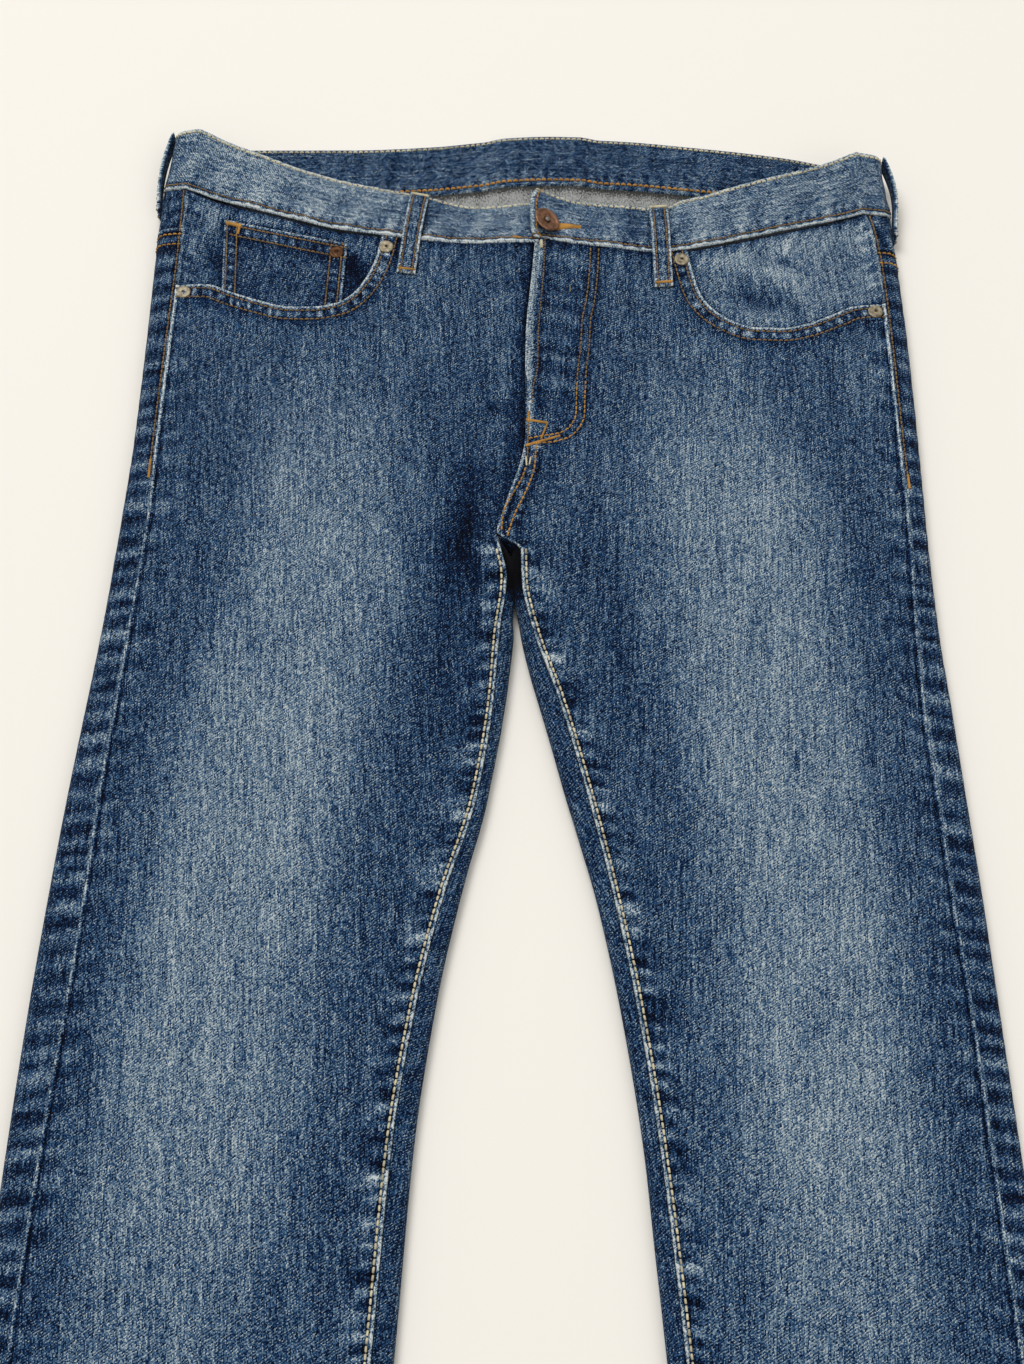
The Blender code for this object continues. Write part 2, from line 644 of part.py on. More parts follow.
def fly_shield_rows(count_x=5, count_y=12):
    """Rows of the fly shield, sewn to the right front and hidden by the lap."""
    rows = []
    for r in range(count_y + 1):
        y = mix(RIGHT.front_waist(20.0) - SEAM - 4.0, SHIELD_FOOT_Y, r / count_y)
        edge = RIGHT.front_edge(y)
        sink = LAYER * (1 + (1 - ease((y - FLY_END_Y) / 40)))
        points = []
        for c in range(count_x + 1):
            x = edge + mix(*SHIELD_SIDES, c / count_x)
            half = RIGHT if x < edge else LEFT
            points.append((x, y, top_height(half, x, y) - sink))
        rows.append(points)
    return rows


def waist_seam(half, start_x, steps_front=26, steps_fold=9, steps_back=12):
    """Points of the waistband's seam on one half, from the centre front to the centre back."""
    lift = BAND / 2 - CLOTH / 2
    side_x = half.outseam(half.waist_side_y())
    points = []
    for k in range(steps_front):
        x = mix(start_x, side_x, k / steps_front)
        y = half.front_waist(x)
        z = top_height(half, min(x, LEFT.front_edge(y)) if half.sign < 0 else x, y)
        if half.sign > 0:
            z += lap_lift(x, y)
        points.append((x, y, z + lift))
    side_y = half.waist_side_y()
    radius, turn, run = half.outer_profile(side_y)
    fold_start = half.sign * half.outer_fold(side_y) - CLOTH / 2 - radius
    fold = turned(fold_start, radius, turn, run, steps_fold)
    for k, (out, z) in enumerate(reversed(fold)):
        x = half.sign * out
        y = mix(side_y, back_waist(x), ease((k - 1) / steps_fold))
        points.append((x, y, z + lift))
    for k in range(1, steps_back + 1):
        x = mix(points[-k][0], centre_back(BACK_WAIST_Y), k / steps_back)
        y = back_waist(x)
        points.append((x, y, CLOTH / 2 + lift + underside_rise(x, y)))
    return points


def band_columns(half, seam, origin, across=3):
    """Columns of the waistband on one half: each runs from its seam to its top edge."""
    lean = RIGHT_BAND_LEAN if half.sign < 0 else LEFT_BAND_LEAN
    aside, up, rise = (column(lean, BAND_LEAN_COLUMNS, name) for name in BAND_LEAN_COLUMNS[1:])
    along = np.concatenate([[0], np.cumsum([math.dist(a, b) for a, b in zip(seam, seam[1:])])])
    columns = []
    for (x, y, z), distance in zip(seam, along + origin):
        points = []
        for k in range(across + 1):
            t = k / across
            points.append((x + aside(distance) * t, y + up(distance) * t, z + rise(distance) * t))
        columns.append(points)
    return columns


def waistband_columns():
    """The waistband from the end of its underlap round the back to the end of the lap."""
    right = band_columns(RIGHT, waist_seam(RIGHT, LAP_EDGE_X + UNDERLAP), -UNDERLAP)
    left = band_columns(LEFT, waist_seam(LEFT, LAP_EDGE_X), 0.0)
    return right + left[-2::-1]


def make_material(name, colour, roughness=0.9, metallic=0.0):
    material = bpy.data.materials.new(name)
    material.use_nodes = True
    shader = material.node_tree.nodes["Principled BSDF"]
    shader.inputs["Base Color"].default_value = (*colour, 1.0)
    shader.inputs["Roughness"].default_value = roughness
    shader.inputs["Metallic"].default_value = metallic
    return material


def place(name, mesh, material):
    """Puts a mesh in the garment's collection under its own name, shaded smooth."""
    mesh.materials.append(material)
    mesh.shade_smooth()
    thing = bpy.data.objects.new(name, mesh)
    garment.objects.link(thing)
    return thing


def sheet(name, rows, thickness, material):
    """A wall of the given thickness whose middle runs through rows of points."""
    across, down = len(rows[0]) - 1, len(rows) - 1
    grid = bmesh.new()
    bmesh.ops.create_grid(grid, x_segments=across, y_segments=down, size=1.0)
    for vertex in grid.verts:
        c = round((vertex.co.x + 1) / 2 * across)
        r = round((1 - vertex.co.y) / 2 * down)
        vertex.co = Vector(rows[r][c]) * MM
    mesh = bpy.data.meshes.new(name)
    grid.to_mesh(mesh)
    grid.free()
    thing = place(name, mesh, material)
    wall = thing.modifiers.new("wall", "SOLIDIFY")
    wall.thickness = thickness * MM
    wall.offset = 0.0
    wall.use_even_offset = True
    return thing


def strap(name, centres, width_way, material):
    """A belt loop: a flat strap through centre points, with its width along one direction."""
    aside = Vector(width_way).normalized() * (LOOP_WIDTH / 2)
    rows = [[tuple(Vector(p) - aside), tuple(Vector(p)), tuple(Vector(p) + aside)] for p in centres]
    return sheet(name, rows, STRAP, material)


def front_loop(half, band, material):
    """A front belt loop, from the waistband's top edge to its foot on the front."""
    top_x, foot_x = FRONT_LOOP_X[half.sign]
    seam_x = mix(top_x, foot_x, 0.6)
    lay = BAND / 2 + SEAM + STRAP / 2
    rows = []
    for r in range(7):
        t = r / 6
        row = []
        for c in (-1, 0, 1):
            x = mix(top_x, seam_x, t) + c * LOOP_WIDTH / 2
            point = at_x(band, x, 1 - t)
            clear = lay + 0.25 + 2.4 * math.sin(math.pi * t)
            row.append((float(point[0]), float(point[1]) - 0.5 * (1 - t), float(point[2]) + clear))
        rows.append(row)
    for r in range(1, 5):
        row = []
        for c in (-1, 0, 1):
            x, y, z = at_x(band, seam_x + c * LOOP_WIDTH / 2, 0.0)
            foot_y = y - LOOP_FOOT * r / 4
            x += (foot_x - seam_x) * r / 4
            lift = lap_lift(x, foot_y) if half.sign > 0 else 0.0
            panel = top_height(half, x, foot_y) + lift + CLOTH / 2 + SEAM + STRAP / 2 + 0.2
            row.append((x, foot_y, mix(panel, z + lay + 0.25, 1 - ease(r / 3))))
        rows.append(row)
    return sheet(f"belt_loop_front_{half.name}", rows, STRAP, material)


def at_x(band, x, share):
    """Point of the front waistband at a place x, at a share of the way up from its seam."""
    line = [mix(np.array(points[0]), np.array(points[-1]), share) for points in band]
    for a, b in zip(line, line[1:]):
        low, high = sorted((a[0], b[0]))
        if low <= x <= high:
            return tuple(float(v) for v in mix(a, b, (x - a[0]) / (b[0] - a[0])))
    return tuple(float(v) for v in line[0])


def side_loop(half, band, material):
    """A side belt loop, standing on edge outside the fold at the end of the waist."""
    outermost = max(range(len(band)), key=lambda k: half.sign * band[k][0][0])
    seam_point, top = band[outermost][0], band[outermost][-1]
    lay = BAND / 2 + SEAM + STRAP / 2
    centres = []
    for k in range(8):
        t = k / 7
        base = Vector(top).lerp(Vector(seam_point), t)
        bow = lay + (SIDE_LOOP_BOW[half.sign] - SEAM) * math.sin(math.pi * min(t * 0.9 + 0.05, 1.0))
        centres.append((base.x + half.sign * bow, base.y - 1.0 * (1 - t), max(base.z, 6.2)))
    for k in range(1, 5):
        y = seam_point[1] - LOOP_FOOT * 0.6 * k / 4
        fold_x = half.outer_fold(y) + half.sign * (SEAM + STRAP / 2 + 0.1)
        hold = mix(fold_x, seam_point[0] + half.sign * (lay + 0.6), 1 - ease(k / 3))
        centres.append((hold, y, mix(max(seam_point[2], 6.2), 8.0, k / 4)))
    return strap(f"belt_loop_side_{half.name}", centres, (0, 0, 1), material)


def back_loop(material):
    """The centre back loop, flat under the waistband."""
    x = centre_back(BACK_LOOP_Y)
    top_y, foot_y = back_waist(x) + 38.0, back_waist(x) - LOOP_FOOT
    centres = [(x, mix(top_y, foot_y, k / 8), STRAP / 2) for k in range(9)]
    return strap("belt_loop_back", centres, (1, 0, 0), material)


def back_pocket(half, material, count=6):
    """A five-sided patch pocket, flat under the back."""
    centre_x, centre_y = BACK_POCKET_CENTRE[half.sign]
    rows = []
    for r in range(count + 1):
        t = r / count
        width = BACK_POCKET_WIDTH - BACK_POCKET_TAPER * t
        points = []
        for c in range(count + 1):
            u = 2 * c / count - 1
            y = centre_y + BACK_POCKET_HEIGHT * (0.5 - t) + BACK_POCKET_POINT * abs(u) * t
            points.append((centre_x + u * width / 2, y, CLOTH / 2))
        rows.append(points)
    return sheet(f"back_pocket_{half.name}", rows, CLOTH, material)


def turned_piece(name, profile, base, axis, material, steps=16):
    """A round fitting: a profile of (radius, height) turned about an axis through base."""
    mesh = bpy.data.meshes.new(name)
    outline = bmesh.new()
    verts = [outline.verts.new((radius * MM, 0, height * MM)) for radius, height in profile]
    for a, b in zip(verts, verts[1:]):
        outline.edges.new((a, b))
    outline.to_mesh(mesh)
    outline.free()
    thing = place(name, mesh, material)
    turn = thing.modifiers.new("turn", "SCREW")
    turn.axis = "Z"
    turn.steps = turn.render_steps = steps
    turn.use_merge_vertices = True
    turn.merge_threshold = 0.00005
    thing.location = Vector(base) * MM
    thing.rotation_mode = "QUATERNION"
    thing.rotation_quaternion = Vector(axis).to_track_quat("Z", "Y")
    return thing


def surface_axis(height, x, y, reach=3.0):
    """Upright direction of a height rule at a point."""
    slope_x = (height(x + reach, y) - height(x - reach, y)) / (2 * reach)
    slope_y = (height(x, y + reach) - height(x, y - reach)) / (2 * reach)
    return Vector((-slope_x, -slope_y, 1.0)).normalized()


RIVET_PROFILE = (
    (0.0, 1.2),
    (1.1, 1.1),
    (1.5, 0.7),
    (3.2, 0.8),
    (RIVET_RADIUS - 0.4, 0.9),
    (RIVET_RADIUS, 0.4),
    (RIVET_RADIUS - 0.3, 0.0),
    (0.0, 0.0),
)
BUTTON_PROFILE = (
    (0.0, 5.6),
    (1.6, 5.4),
    (2.2, 4.9),
    (3.4, 4.8),
    (7.2, 5.4),
    (BUTTON_RADIUS, 5.0),
    (BUTTON_RADIUS - 0.1, 4.2),
    (7.4, 3.8),
    (2.4, 3.6),
)


def rivets(material, coin_material):
    """The rivets at the ends of the pocket mouths and at the coin pocket's corner."""
    for name, (sign, x, y) in RIVET_PLACES.items():
        half = RIGHT if sign < 0 else LEFT

        def height(px, py, half=half):
            lift = lap_lift(px, py) if half.sign > 0 else 0.0
            return top_height(half, px, py) + lift

        axis = surface_axis(height, x, y)
        base = Vector((x, y, height(x, y))) + axis * (CLOTH / 2 + SEAM)
        turned_piece(name, RIVET_PROFILE, base, axis, material)
    x, y = COIN_RIVET_PLACE

    def coin_height(px, py):
        return facing_height(RIGHT, px, py) + LAYER

    axis = surface_axis(coin_height, x, y)
    base = Vector((x, y, coin_height(x, y))) + axis * (CLOTH / 2 + SEAM + 0.2)
    turned_piece("rivet_coin_pocket", RIVET_PROFILE, base, axis, coin_material)


def level_at(band, x, y):
    """Height of the waistband's middle at a point of its front."""
    seam_y, top_y = at_x(band, x, 0.0)[1], at_x(band, x, 1.0)[1]
    return at_x(band, x, (y - seam_y) / (top_y - seam_y))[2]


def waist_button(lap, underlap, material):
    """The tack button, leaning on the lap, its shank down through the buttonhole."""
    x, y = BUTTON_PLACE
    base_z = level_at(lap, x, y) + BAND / 2 + BUTTON_STAND
    lean, rise = BUTTON_AXIS[0], BUTTON_AXIS[2]
    floor_z = level_at(underlap, x, y) + BAND / 2 + SEAM + SHANK_RADIUS * lean
    foot = (floor_z - base_z) / rise
    profile = BUTTON_PROFILE + ((SHANK_RADIUS, 3.2), (SHANK_RADIUS, foot), (0.0, foot))
    turned_piece("waist_button", profile, (x, y, base_z), BUTTON_AXIS, material)


def cut_buttonhole(band_piece, lap):
    """Cuts the buttonhole through the lap and leaves the underlap whole."""
    y = BUTTON_PLACE[1]
    ends = SLOT_START_X + SLOT_WIDTH / 2, SLOT_START_X + SLOT_LENGTH - SLOT_WIDTH / 2
    floor_z = min(level_at(lap, x, y) for x in ends) - BAND / 2 - SEAM
    outline = []
    for k in range(16):
        angle = math.radians(-90 + 180 * (k % 8) / 7 + 180 * (k // 8))
        centre_x = ends[1] if k < 8 else ends[0]
        outline.append(
            (centre_x + SLOT_WIDTH / 2 * math.cos(angle), y + SLOT_WIDTH / 2 * math.sin(angle))
        )
    block = bmesh.new()
    face = block.faces.new([block.verts.new((x * MM, v * MM, floor_z * MM)) for x, v in outline])
    raised = bmesh.ops.extrude_face_region(block, geom=[face])["geom"]
    moved = [part for part in raised if isinstance(part, bmesh.types.BMVert)]
    bmesh.ops.translate(block, verts=moved, vec=(0, 0, 12 * MM))
    bmesh.ops.recalc_face_normals(block, faces=block.faces)
    mesh = bpy.data.meshes.new("buttonhole_cutter")
    block.to_mesh(mesh)
    block.free()
    cutter = bpy.data.objects.new("buttonhole_cutter", mesh)
    cutters.objects.link(cutter)
    cutter.hide_render = True
    cutter.display_type = "WIRE"
    cut = band_piece.modifiers.new("buttonhole", "BOOLEAN")
    cut.operation = "DIFFERENCE"
    cut.solver = "EXACT"
    cut.object = cutter


for old in list(bpy.data.objects):
    bpy.data.objects.remove(old, do_unlink=True)
garment = bpy.data.collections.new("slim_fit_jeans")
bpy.context.scene.collection.children.link(garment)
cutters = bpy.data.collections.new("cutters")
bpy.context.scene.collection.children.link(cutters)
cutters.hide_render = True

denim = make_material("denim", COLOURS["denim"])
copper = make_material("copper", COLOURS["copper"], 0.45, 1.0)
nickel = make_material("nickel", COLOURS["nickel"], 0.4, 1.0)

band_whole = waistband_columns()
band_right = band_columns(RIGHT, waist_seam(RIGHT, LAP_EDGE_X + UNDERLAP), -UNDERLAP)
band_left = band_columns(LEFT, waist_seam(LEFT, LAP_EDGE_X), 0.0)

for side, side_band in ((RIGHT, band_right), (LEFT, band_left)):
    sheet(f"{side.name}_front", front_rows(side), CLOTH, denim)
    sheet(f"{side.name}_back", back_rows(side), CLOTH, denim)
    sheet(f"{side.name}_yoke", yoke_rows(side), CLOTH, denim)
    sheet(f"{side.name}_pocket_facing", facing_rows(side), CLOTH, denim)
    back_pocket(side, denim)
    front_loop(side, side_band, denim)
    side_loop(side, side_band, denim)
back_loop(denim)
sheet("coin_pocket", coin_pocket_rows(), CLOTH, denim)
sheet("fly_facing", fly_facing_rows(), CLOTH, denim)
sheet("fly_shield", fly_shield_rows(), CLOTH, denim)
band_piece = sheet("waistband", [list(points) for points in zip(*band_whole)], BAND, denim)
cut_buttonhole(band_piece, band_left)
rivets(nickel, copper)
waist_button(band_left, band_right, copper)
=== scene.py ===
"""Slim fit five-pocket jeans laid flat, face up, on a pale surface.

The cloth pieces repeat the frame's own shape rules at a finer spacing, so each piece lies
where its solid lies. Lengths in the tables and shape rules are millimetres and become
metres when a mesh is made. The wearer's right side lies at -X, the waist at +Y.
"""

import json
import math

import bpy
import numpy as np
from bpy.props import FloatProperty, FloatVectorProperty, IntProperty, PointerProperty
from mathutils import Matrix, Vector
from mathutils.bvhtree import BVHTree

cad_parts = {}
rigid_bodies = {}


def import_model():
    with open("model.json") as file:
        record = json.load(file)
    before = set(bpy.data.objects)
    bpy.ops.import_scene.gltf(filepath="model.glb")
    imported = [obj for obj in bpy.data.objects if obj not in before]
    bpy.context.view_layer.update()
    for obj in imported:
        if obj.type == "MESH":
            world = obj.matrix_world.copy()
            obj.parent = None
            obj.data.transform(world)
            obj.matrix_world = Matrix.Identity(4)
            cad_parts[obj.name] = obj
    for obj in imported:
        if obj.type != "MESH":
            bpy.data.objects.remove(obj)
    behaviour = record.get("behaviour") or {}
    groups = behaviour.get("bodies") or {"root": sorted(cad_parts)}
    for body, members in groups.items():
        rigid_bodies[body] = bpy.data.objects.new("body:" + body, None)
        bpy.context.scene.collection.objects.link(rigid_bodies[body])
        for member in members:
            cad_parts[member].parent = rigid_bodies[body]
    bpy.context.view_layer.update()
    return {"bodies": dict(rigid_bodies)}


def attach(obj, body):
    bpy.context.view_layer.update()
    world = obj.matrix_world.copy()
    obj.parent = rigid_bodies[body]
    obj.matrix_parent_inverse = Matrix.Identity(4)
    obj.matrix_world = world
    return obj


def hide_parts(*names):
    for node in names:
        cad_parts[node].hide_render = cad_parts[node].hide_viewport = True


bl_info = {
    "name": "Slim fit jeans",
    "version": (1, 0, 0),
    "blender": (4, 5, 0),
    "location": "3D View > Sidebar > Jeans",
    "description": "Builds the cloth, sewing, hardware and setting of a pair of jeans laid flat",
    "category": "Object",
}

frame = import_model()
BODY = list(frame["bodies"])[0]

MM = 0.001

# Thicknesses and clearances
CLOTH = 1.2
BAND = 2.6
BAND_WIDTH = 38.0
STRAP = 2.2
SEAM = 0.3
LAYER = CLOTH + SEAM
JOIN = 0.04  # sewn edges nearly touch, half of the gap between them

# Places along the garment
HEM_Y = -554.1
CROTCH_Y = 250.0
CROTCH_JOIN_Y = 244.0
FLY_END_Y = 312.0
SIDE_WAIST_Y = 495.0
BACK_WAIST_Y = 513.0
BACK_LOOP_Y = 520.0
LAP_TOP_Y = 455.0
FACING_Y = 460.0  # where the columns of the pocket facings are spaced
PROUD_FROM_Y = 346.0
PROUD_EASE = 16.0

LEG_COLUMNS = ("y", "outer_fold", "outseam", "front_edge")
RIGHT_LEG = (
    (515, -221, -206.5, 10.5), (465, -223, -207, 10.5), (385, -224.5, -210, 4.5),
    (315, -226.5, -212.5, 3.5), (265, -229.5, -213.5, -8.5), (250, -230.5, -214.5, -12.5),
    (238, -231.5, -215.5, -9.5), (222, -232.5, -216.5, -6.5), (186, -235.5, -219.5, -10.5),
    (146, -239.5, -222.5, -13.5), (86, -245.5, -227.5, -22.5), (26, -250.5, -230.5, -40),
    (-30, -254.5, -234.5, -52.5), (-105, -258.5, -240.5, -63.5), (-215, -263, -247, -71.5),
    (-375, -268.5, -251.5, -84), (HEM_Y, -273, -256, -96.5),
)
LEFT_LEG = (
    (500, 231.5, 212, 10.5), (465, 232.5, 219.5, 10.5), (435, 234, 222, 8.5),
    (385, 235.5, 223.5, 4.5), (315, 236, 224.5, 3.5), (265, 236, 225.5, -8.5),
    (250, 236, 225.5, -12.5), (239, 236.2, 225.5, 1.5), (220, 236.5, 225, 2),
    (186, 237.5, 224.5, 9), (146, 240, 224.5, 22), (86, 243.5, 227.5, 37.5),
    (26, 247, 230.5, 50.5), (-30, 249.5, 234.5, 60.5), (-105, 253, 238, 70.5),
    (-215, 258, 243, 80.5), (-375, 265.5, 250, 91.5), (HEM_Y, 273, 257, 99),
)
INNER_TURN_COLUMNS = ("y", "turn_degrees", "radius", "right_run", "left_run")
INNER_TURN = (
    (340, 0, 16.5, 0, 0), (322, 8, 16.5, 0, 0), (302, 26, 16.5, 0, 0), (284, 48, 16.5, 0, 0),
    (266, 68, 16.5, 0, 0), (CROTCH_Y, 88, 15.4, 0, 0), (CROTCH_JOIN_Y, 122, 11, 0, 0),
    (236, 152, 8.7, 0, 0), (226, 160, 8.2, 0, 0), (212, 158, 7.1, 0.1, 0.1),
    (198, 160, 6.6, 0.8, 0.8), (186, 168, 6.2, 2.2, 1.6), (146, 172, 5.7, 0.9, 5.4),
    (95, 172, 5.3, 0.2, 6.2), (60, 172, 5.3, 1.2, 5), (25, 172, 5.4, 3.2, 3.4),
    (-105, 172, 5.3, 5.4, 2.6), (-170, 172, 5.2, 5.6, 3.6), (HEM_Y, 172, 4.8, 5, 3.8),
)
OUTER_TURN = math.radians(172.0)

# (y, value) pairs
OUTER_RADIUS = ((HEM_Y, 4.8), (-100, 5.6), (150, 6), (300, 6.6), (515, 6.6))
CROWN = ((HEM_Y, 1.2), (-200, 2.4), (120, 3.6), (300, 2.6), (515, 1.6))
FRONT_CENTRE_HEIGHT = ((244, 17.7), (300, 18.6), (400, 19), (515, 18.4))
INNER_LEVEL = ((HEM_Y, 10.6), (25, 12.4), (120, 13.6), (230, 16.6), (330, 18.8), (515, 18.6))
CENTRE_BACK = ((250, -12.5), (266, -9), (315, 0), (465, 12), (520, 15.5))

# (x, y) pairs of the seam between the waistband and the panels
RIGHT_FRONT_WAIST = (
    (-218, 506), (-205, 501.5), (-188, 493.3), (-163, 484.6), (-138, 476.3), (-112, 468.2),
    (-87, 463.6), (-58.5, 458.8), (-27, 456.2), (0, 457.4), (60, 457.4),
)
LEFT_FRONT_WAIST = (
    (0, 460.5), (10.5, 459), (38.5, 453.2), (81.5, 449), (97, 451), (115, 454.6), (140, 461),
    (165, 468), (190, 474.6), (204, 478.8), (216, 482.8), (232, 485.5),
)
BACK_WAIST = (
    (-222, 507.5), (-163, 506), (-105, 506), (-54, 508.5), (-15, 513), (19, 515), (61, 513.5),
    (112, 508), (165, 500.5), (210, 491), (233, 486.5),
)
YOKE_SIDE_Y = {-1: 472.0, 1: 457.5}
YOKE_CENTRE_Y = 446.0

# (x, y) of the front pocket mouth, from the outseam round to the waistband
RIGHT_MOUTH = (
    (-189.5, 427.3), (-172.5, 420.5), (-155.5, 413.6), (-139.5, 409.2), (-123.5, 408.4),
    (-108.5, 411.4), (-99.5, 418.5), (-91.5, 431.5), (-86.5, 446),
)
LEFT_MOUTH = (
    (204.5, 411.5), (191.5, 405), (174.5, 397), (158.5, 393.5), (142.5, 393.5), (126.5, 399.5),
    (115.5, 409.5), (109.5, 421.5), (106, 437.5),
)
MOUTH_TOP_X = {-1: -83.5, 1: 103.5}
MOUTH_END_Y = {-1: 427.5, 1: 413.5}

BAND_LEAN_COLUMNS = ("along", "aside", "up_garment", "rise")
RIGHT_BAND_LEAN = (
    (-50, -1, 36.6, -8), (0, 0, 36.6, -8.5), (22, 1, 36.2, -10.5), (38, 2, 36.2, -10.5),
    (54, 3, 36.8, -8.5), (70, 4, 37.6, -5.5), (98, 5, 38, -4), (124, 6, 38, -2),
    (150, 6.5, 38, -0.5), (176, 7, 38, 4.2), (204, 7, 38, 9.4), (222, 7, 38.4, 11.6),
    (237, 7.5, 38.4, 9.6), (252, 8, 38.4, 4), (268, 6, 38.5, 0.4), (310, 1, 39, 0),
    (500, 0, 39.2, 0),
)
LEFT_BAND_LEAN = (
    (-6, -1, 38.4, 0.6), (0, -0.5, 38.2, 0.2), (18, 1, 37.6, -5), (30, 3, 37.2, -7),
    (48, 5, 37.4, -6.8), (74, 4.5, 37.6, -5.2), (84, 4, 37.9, -3.6), (94, 3, 38.2, 0.4),
    (106, 2, 38.5, 0.8), (120, 1, 38.5, 3), (146, 0, 38.5, 5.6), (172, -0.5, 38.5, 7.2),
    (186, -1, 38.4, 8.6), (198, -2, 38.1, 11), (212, -4, 37.5, 13.6), (226, -6, 37.5, 12.6),
    (242, -6.5, 37.8, 5.5), (256, -5, 38.2, 0.4), (300, -1, 39, 0), (480, 0, 39.2, 0),
)
UNDERLAP = 40.0
LAP_EDGE_X = 8.0
LAP_LIFT = 3.0
FLY_FACING_PROUD = 2.6
FACING_FOOT_SET = 0.2
FACING_FOOT_Y = 317.0
SHIELD_FOOT_Y = 322.0
SHIELD_SIDES = (-9.0, 36.0)
FLY_FACING_WIDTH = ((316, 14), (322, 30), (345, 40), (456, 43))

# Soft folds of the front that the solids carry too. Each row of these tables is a half's
# sign, both ends of the fold's line, and its width and height.
FOLDS = (
    (-1, -16, 275, -27, 120, 11, 1.8), (-1, -42, 262, -52, 90, 15, -2.2),
    (-1, -105, 210, -120, -40, 26, 1.2), (-1, -190, 170, -212, -80, 18, -1),
    (-1, -150, -60, -165, -330, 24, -1), (1, 42, 240, 92, 60, 15, -1.4),
    (1, 70, 230, 118, 20, 18, 1.2), (1, 178, 200, 192, -30, 22, -1),
    (1, 130, 10, 150, -220, 26, 1.2), (1, 205, -90, 215, -330, 20, -1),
)
# Finer creases of the fronts: ridges stand up, troughs are negative
CREASES = (
    (-1, -17, 262, -21, 206, 3.5, 1.2), (-1, -21, 214, -25, 130, 5, 1),
    (-1, -34, 275, -36, 205, 8, -1.5), (-1, -36, 225, -42, 120, 9, -1),
    (-1, -27, 140, -40, 50, 6, 0.6), (-1, -60, 300, -34, 236, 7, 0.7),
    (-1, -84, 292, -52, 214, 8, -0.6), (-1, -14, 340, -40, 308, 6, -0.5),
    (-1, -70, 448, -58, 392, 6, 0.6), (-1, -96, 396, -60, 372, 5, 0.5),
    (-1, -196, 396, -188, 330, 7, -0.6), (-1, -178, 60, -192, -30, 9, 0.5),
    (-1, -96, -120, -108, -260, 9, 0.6), (-1, -238, -180, -228, -300, 8, 0.6),
    (-1, -120, -380, -150, -520, 12, -0.8), (-1, -222, -360, -214, -500, 12, 0.7),
    (1, 4, 236, 40, 178, 6, 0.8), (1, 16, 252, 60, 206, 7, -0.8), (1, 30, 286, 84, 244, 8, 0.6),
    (1, 52, 330, 96, 296, 8, -0.4), (1, 60, 440, 76, 386, 6, -0.6), (1, 118, 388, 90, 360, 6, 0.5),
    (1, 196, 392, 204, 330, 7, 0.6), (1, 58, 120, 74, 30, 7, 0.6), (1, 100, 90, 108, -20, 8, -0.5),
    (1, 222, 40, 226, -60, 8, -0.6), (1, 92, -120, 104, -250, 9, 0.6),
    (1, 186, -360, 168, -520, 12, -0.8), (1, 226, -300, 236, -470, 9, 0.6),
)
# Shade that lies in folds of the fronts: lines like the creases, with a tone for the height
SHADES = (
    (-1, -27, 312, -33, 196, 8, -0.25), (-1, -27, 260, -22, 140, 3, -0.2),
    (-1, -24.5, 205, -26, 70, 3, -0.1), (-1, -16.5, 258, -15.5, 120, 4.5, 0.07),
)
# Creases of the waistband's front, with the half of the garment that each is on
BAND_CREASES = (
    (-1, -186, 512, -170, 494, 6, 0.6), (-1, -150, 506, -128, 484, 7, -0.6),
    (-1, -70, 494, -56, 468, 6, -0.7), (-1, -44, 482, -36, 462, 5, 0.5),
    (-1, -20, 484, -2, 462, 6, -0.6), (1, 22, 484, 34, 474, 3, 0.7),
    (1, 30, 474, 60, 462, 4, -0.8), (1, 48, 486, 66, 460, 5, 0.6),
    (1, 112, 482, 130, 462, 6, -0.6), (1, 150, 494, 158, 470, 6, 0.6),
    (1, 188, 506, 196, 482, 6, -0.6),
)
# Creases of the backs, on the hidden side: all are troughs, because the cloth rests there
BACK_CREASES = (
    (-1, -60, 270, -160, 215, 9, 0.9), (-1, -48, 240, -190, 150, 12, 0.7),
    (-1, -200, 60, -90, 10, 12, 0.8), (-1, -110, -20, -215, -75, 10, 0.9),
    (-1, -230, -260, -140, -330, 14, 0.6), (1, 70, 262, 150, 222, 9, 0.9),
    (1, 60, 214, 196, 160, 12, 0.7), (1, 210, 40, 110, -6, 12, 0.8),
    (1, 120, -50, 210, -96, 10, 0.9), (1, 230, -300, 150, -352, 14, 0.6),
)
# Folds of the pocket facings, seen in the pocket mouths
FACING_FOLDS = (
    (1, 108, 428, 186, 406, 8, -1.7), (1, 112, 446, 200, 425, 6, 0.7),
    (1, 128, 436, 150, 430, 3.5, -0.8), (1, 146, 456, 186, 434, 3.5, -1),
    (1, 196, 470, 203, 430, 5, -0.7), (-1, -191, 472, -184, 428, 6, -1.6),
    (-1, -100, 454, -93, 420, 6, -1.8), (-1, -190, 485, -130, 471, 4, 0.8),
    (-1, -186, 479, -112, 459, 3, -0.7),
)

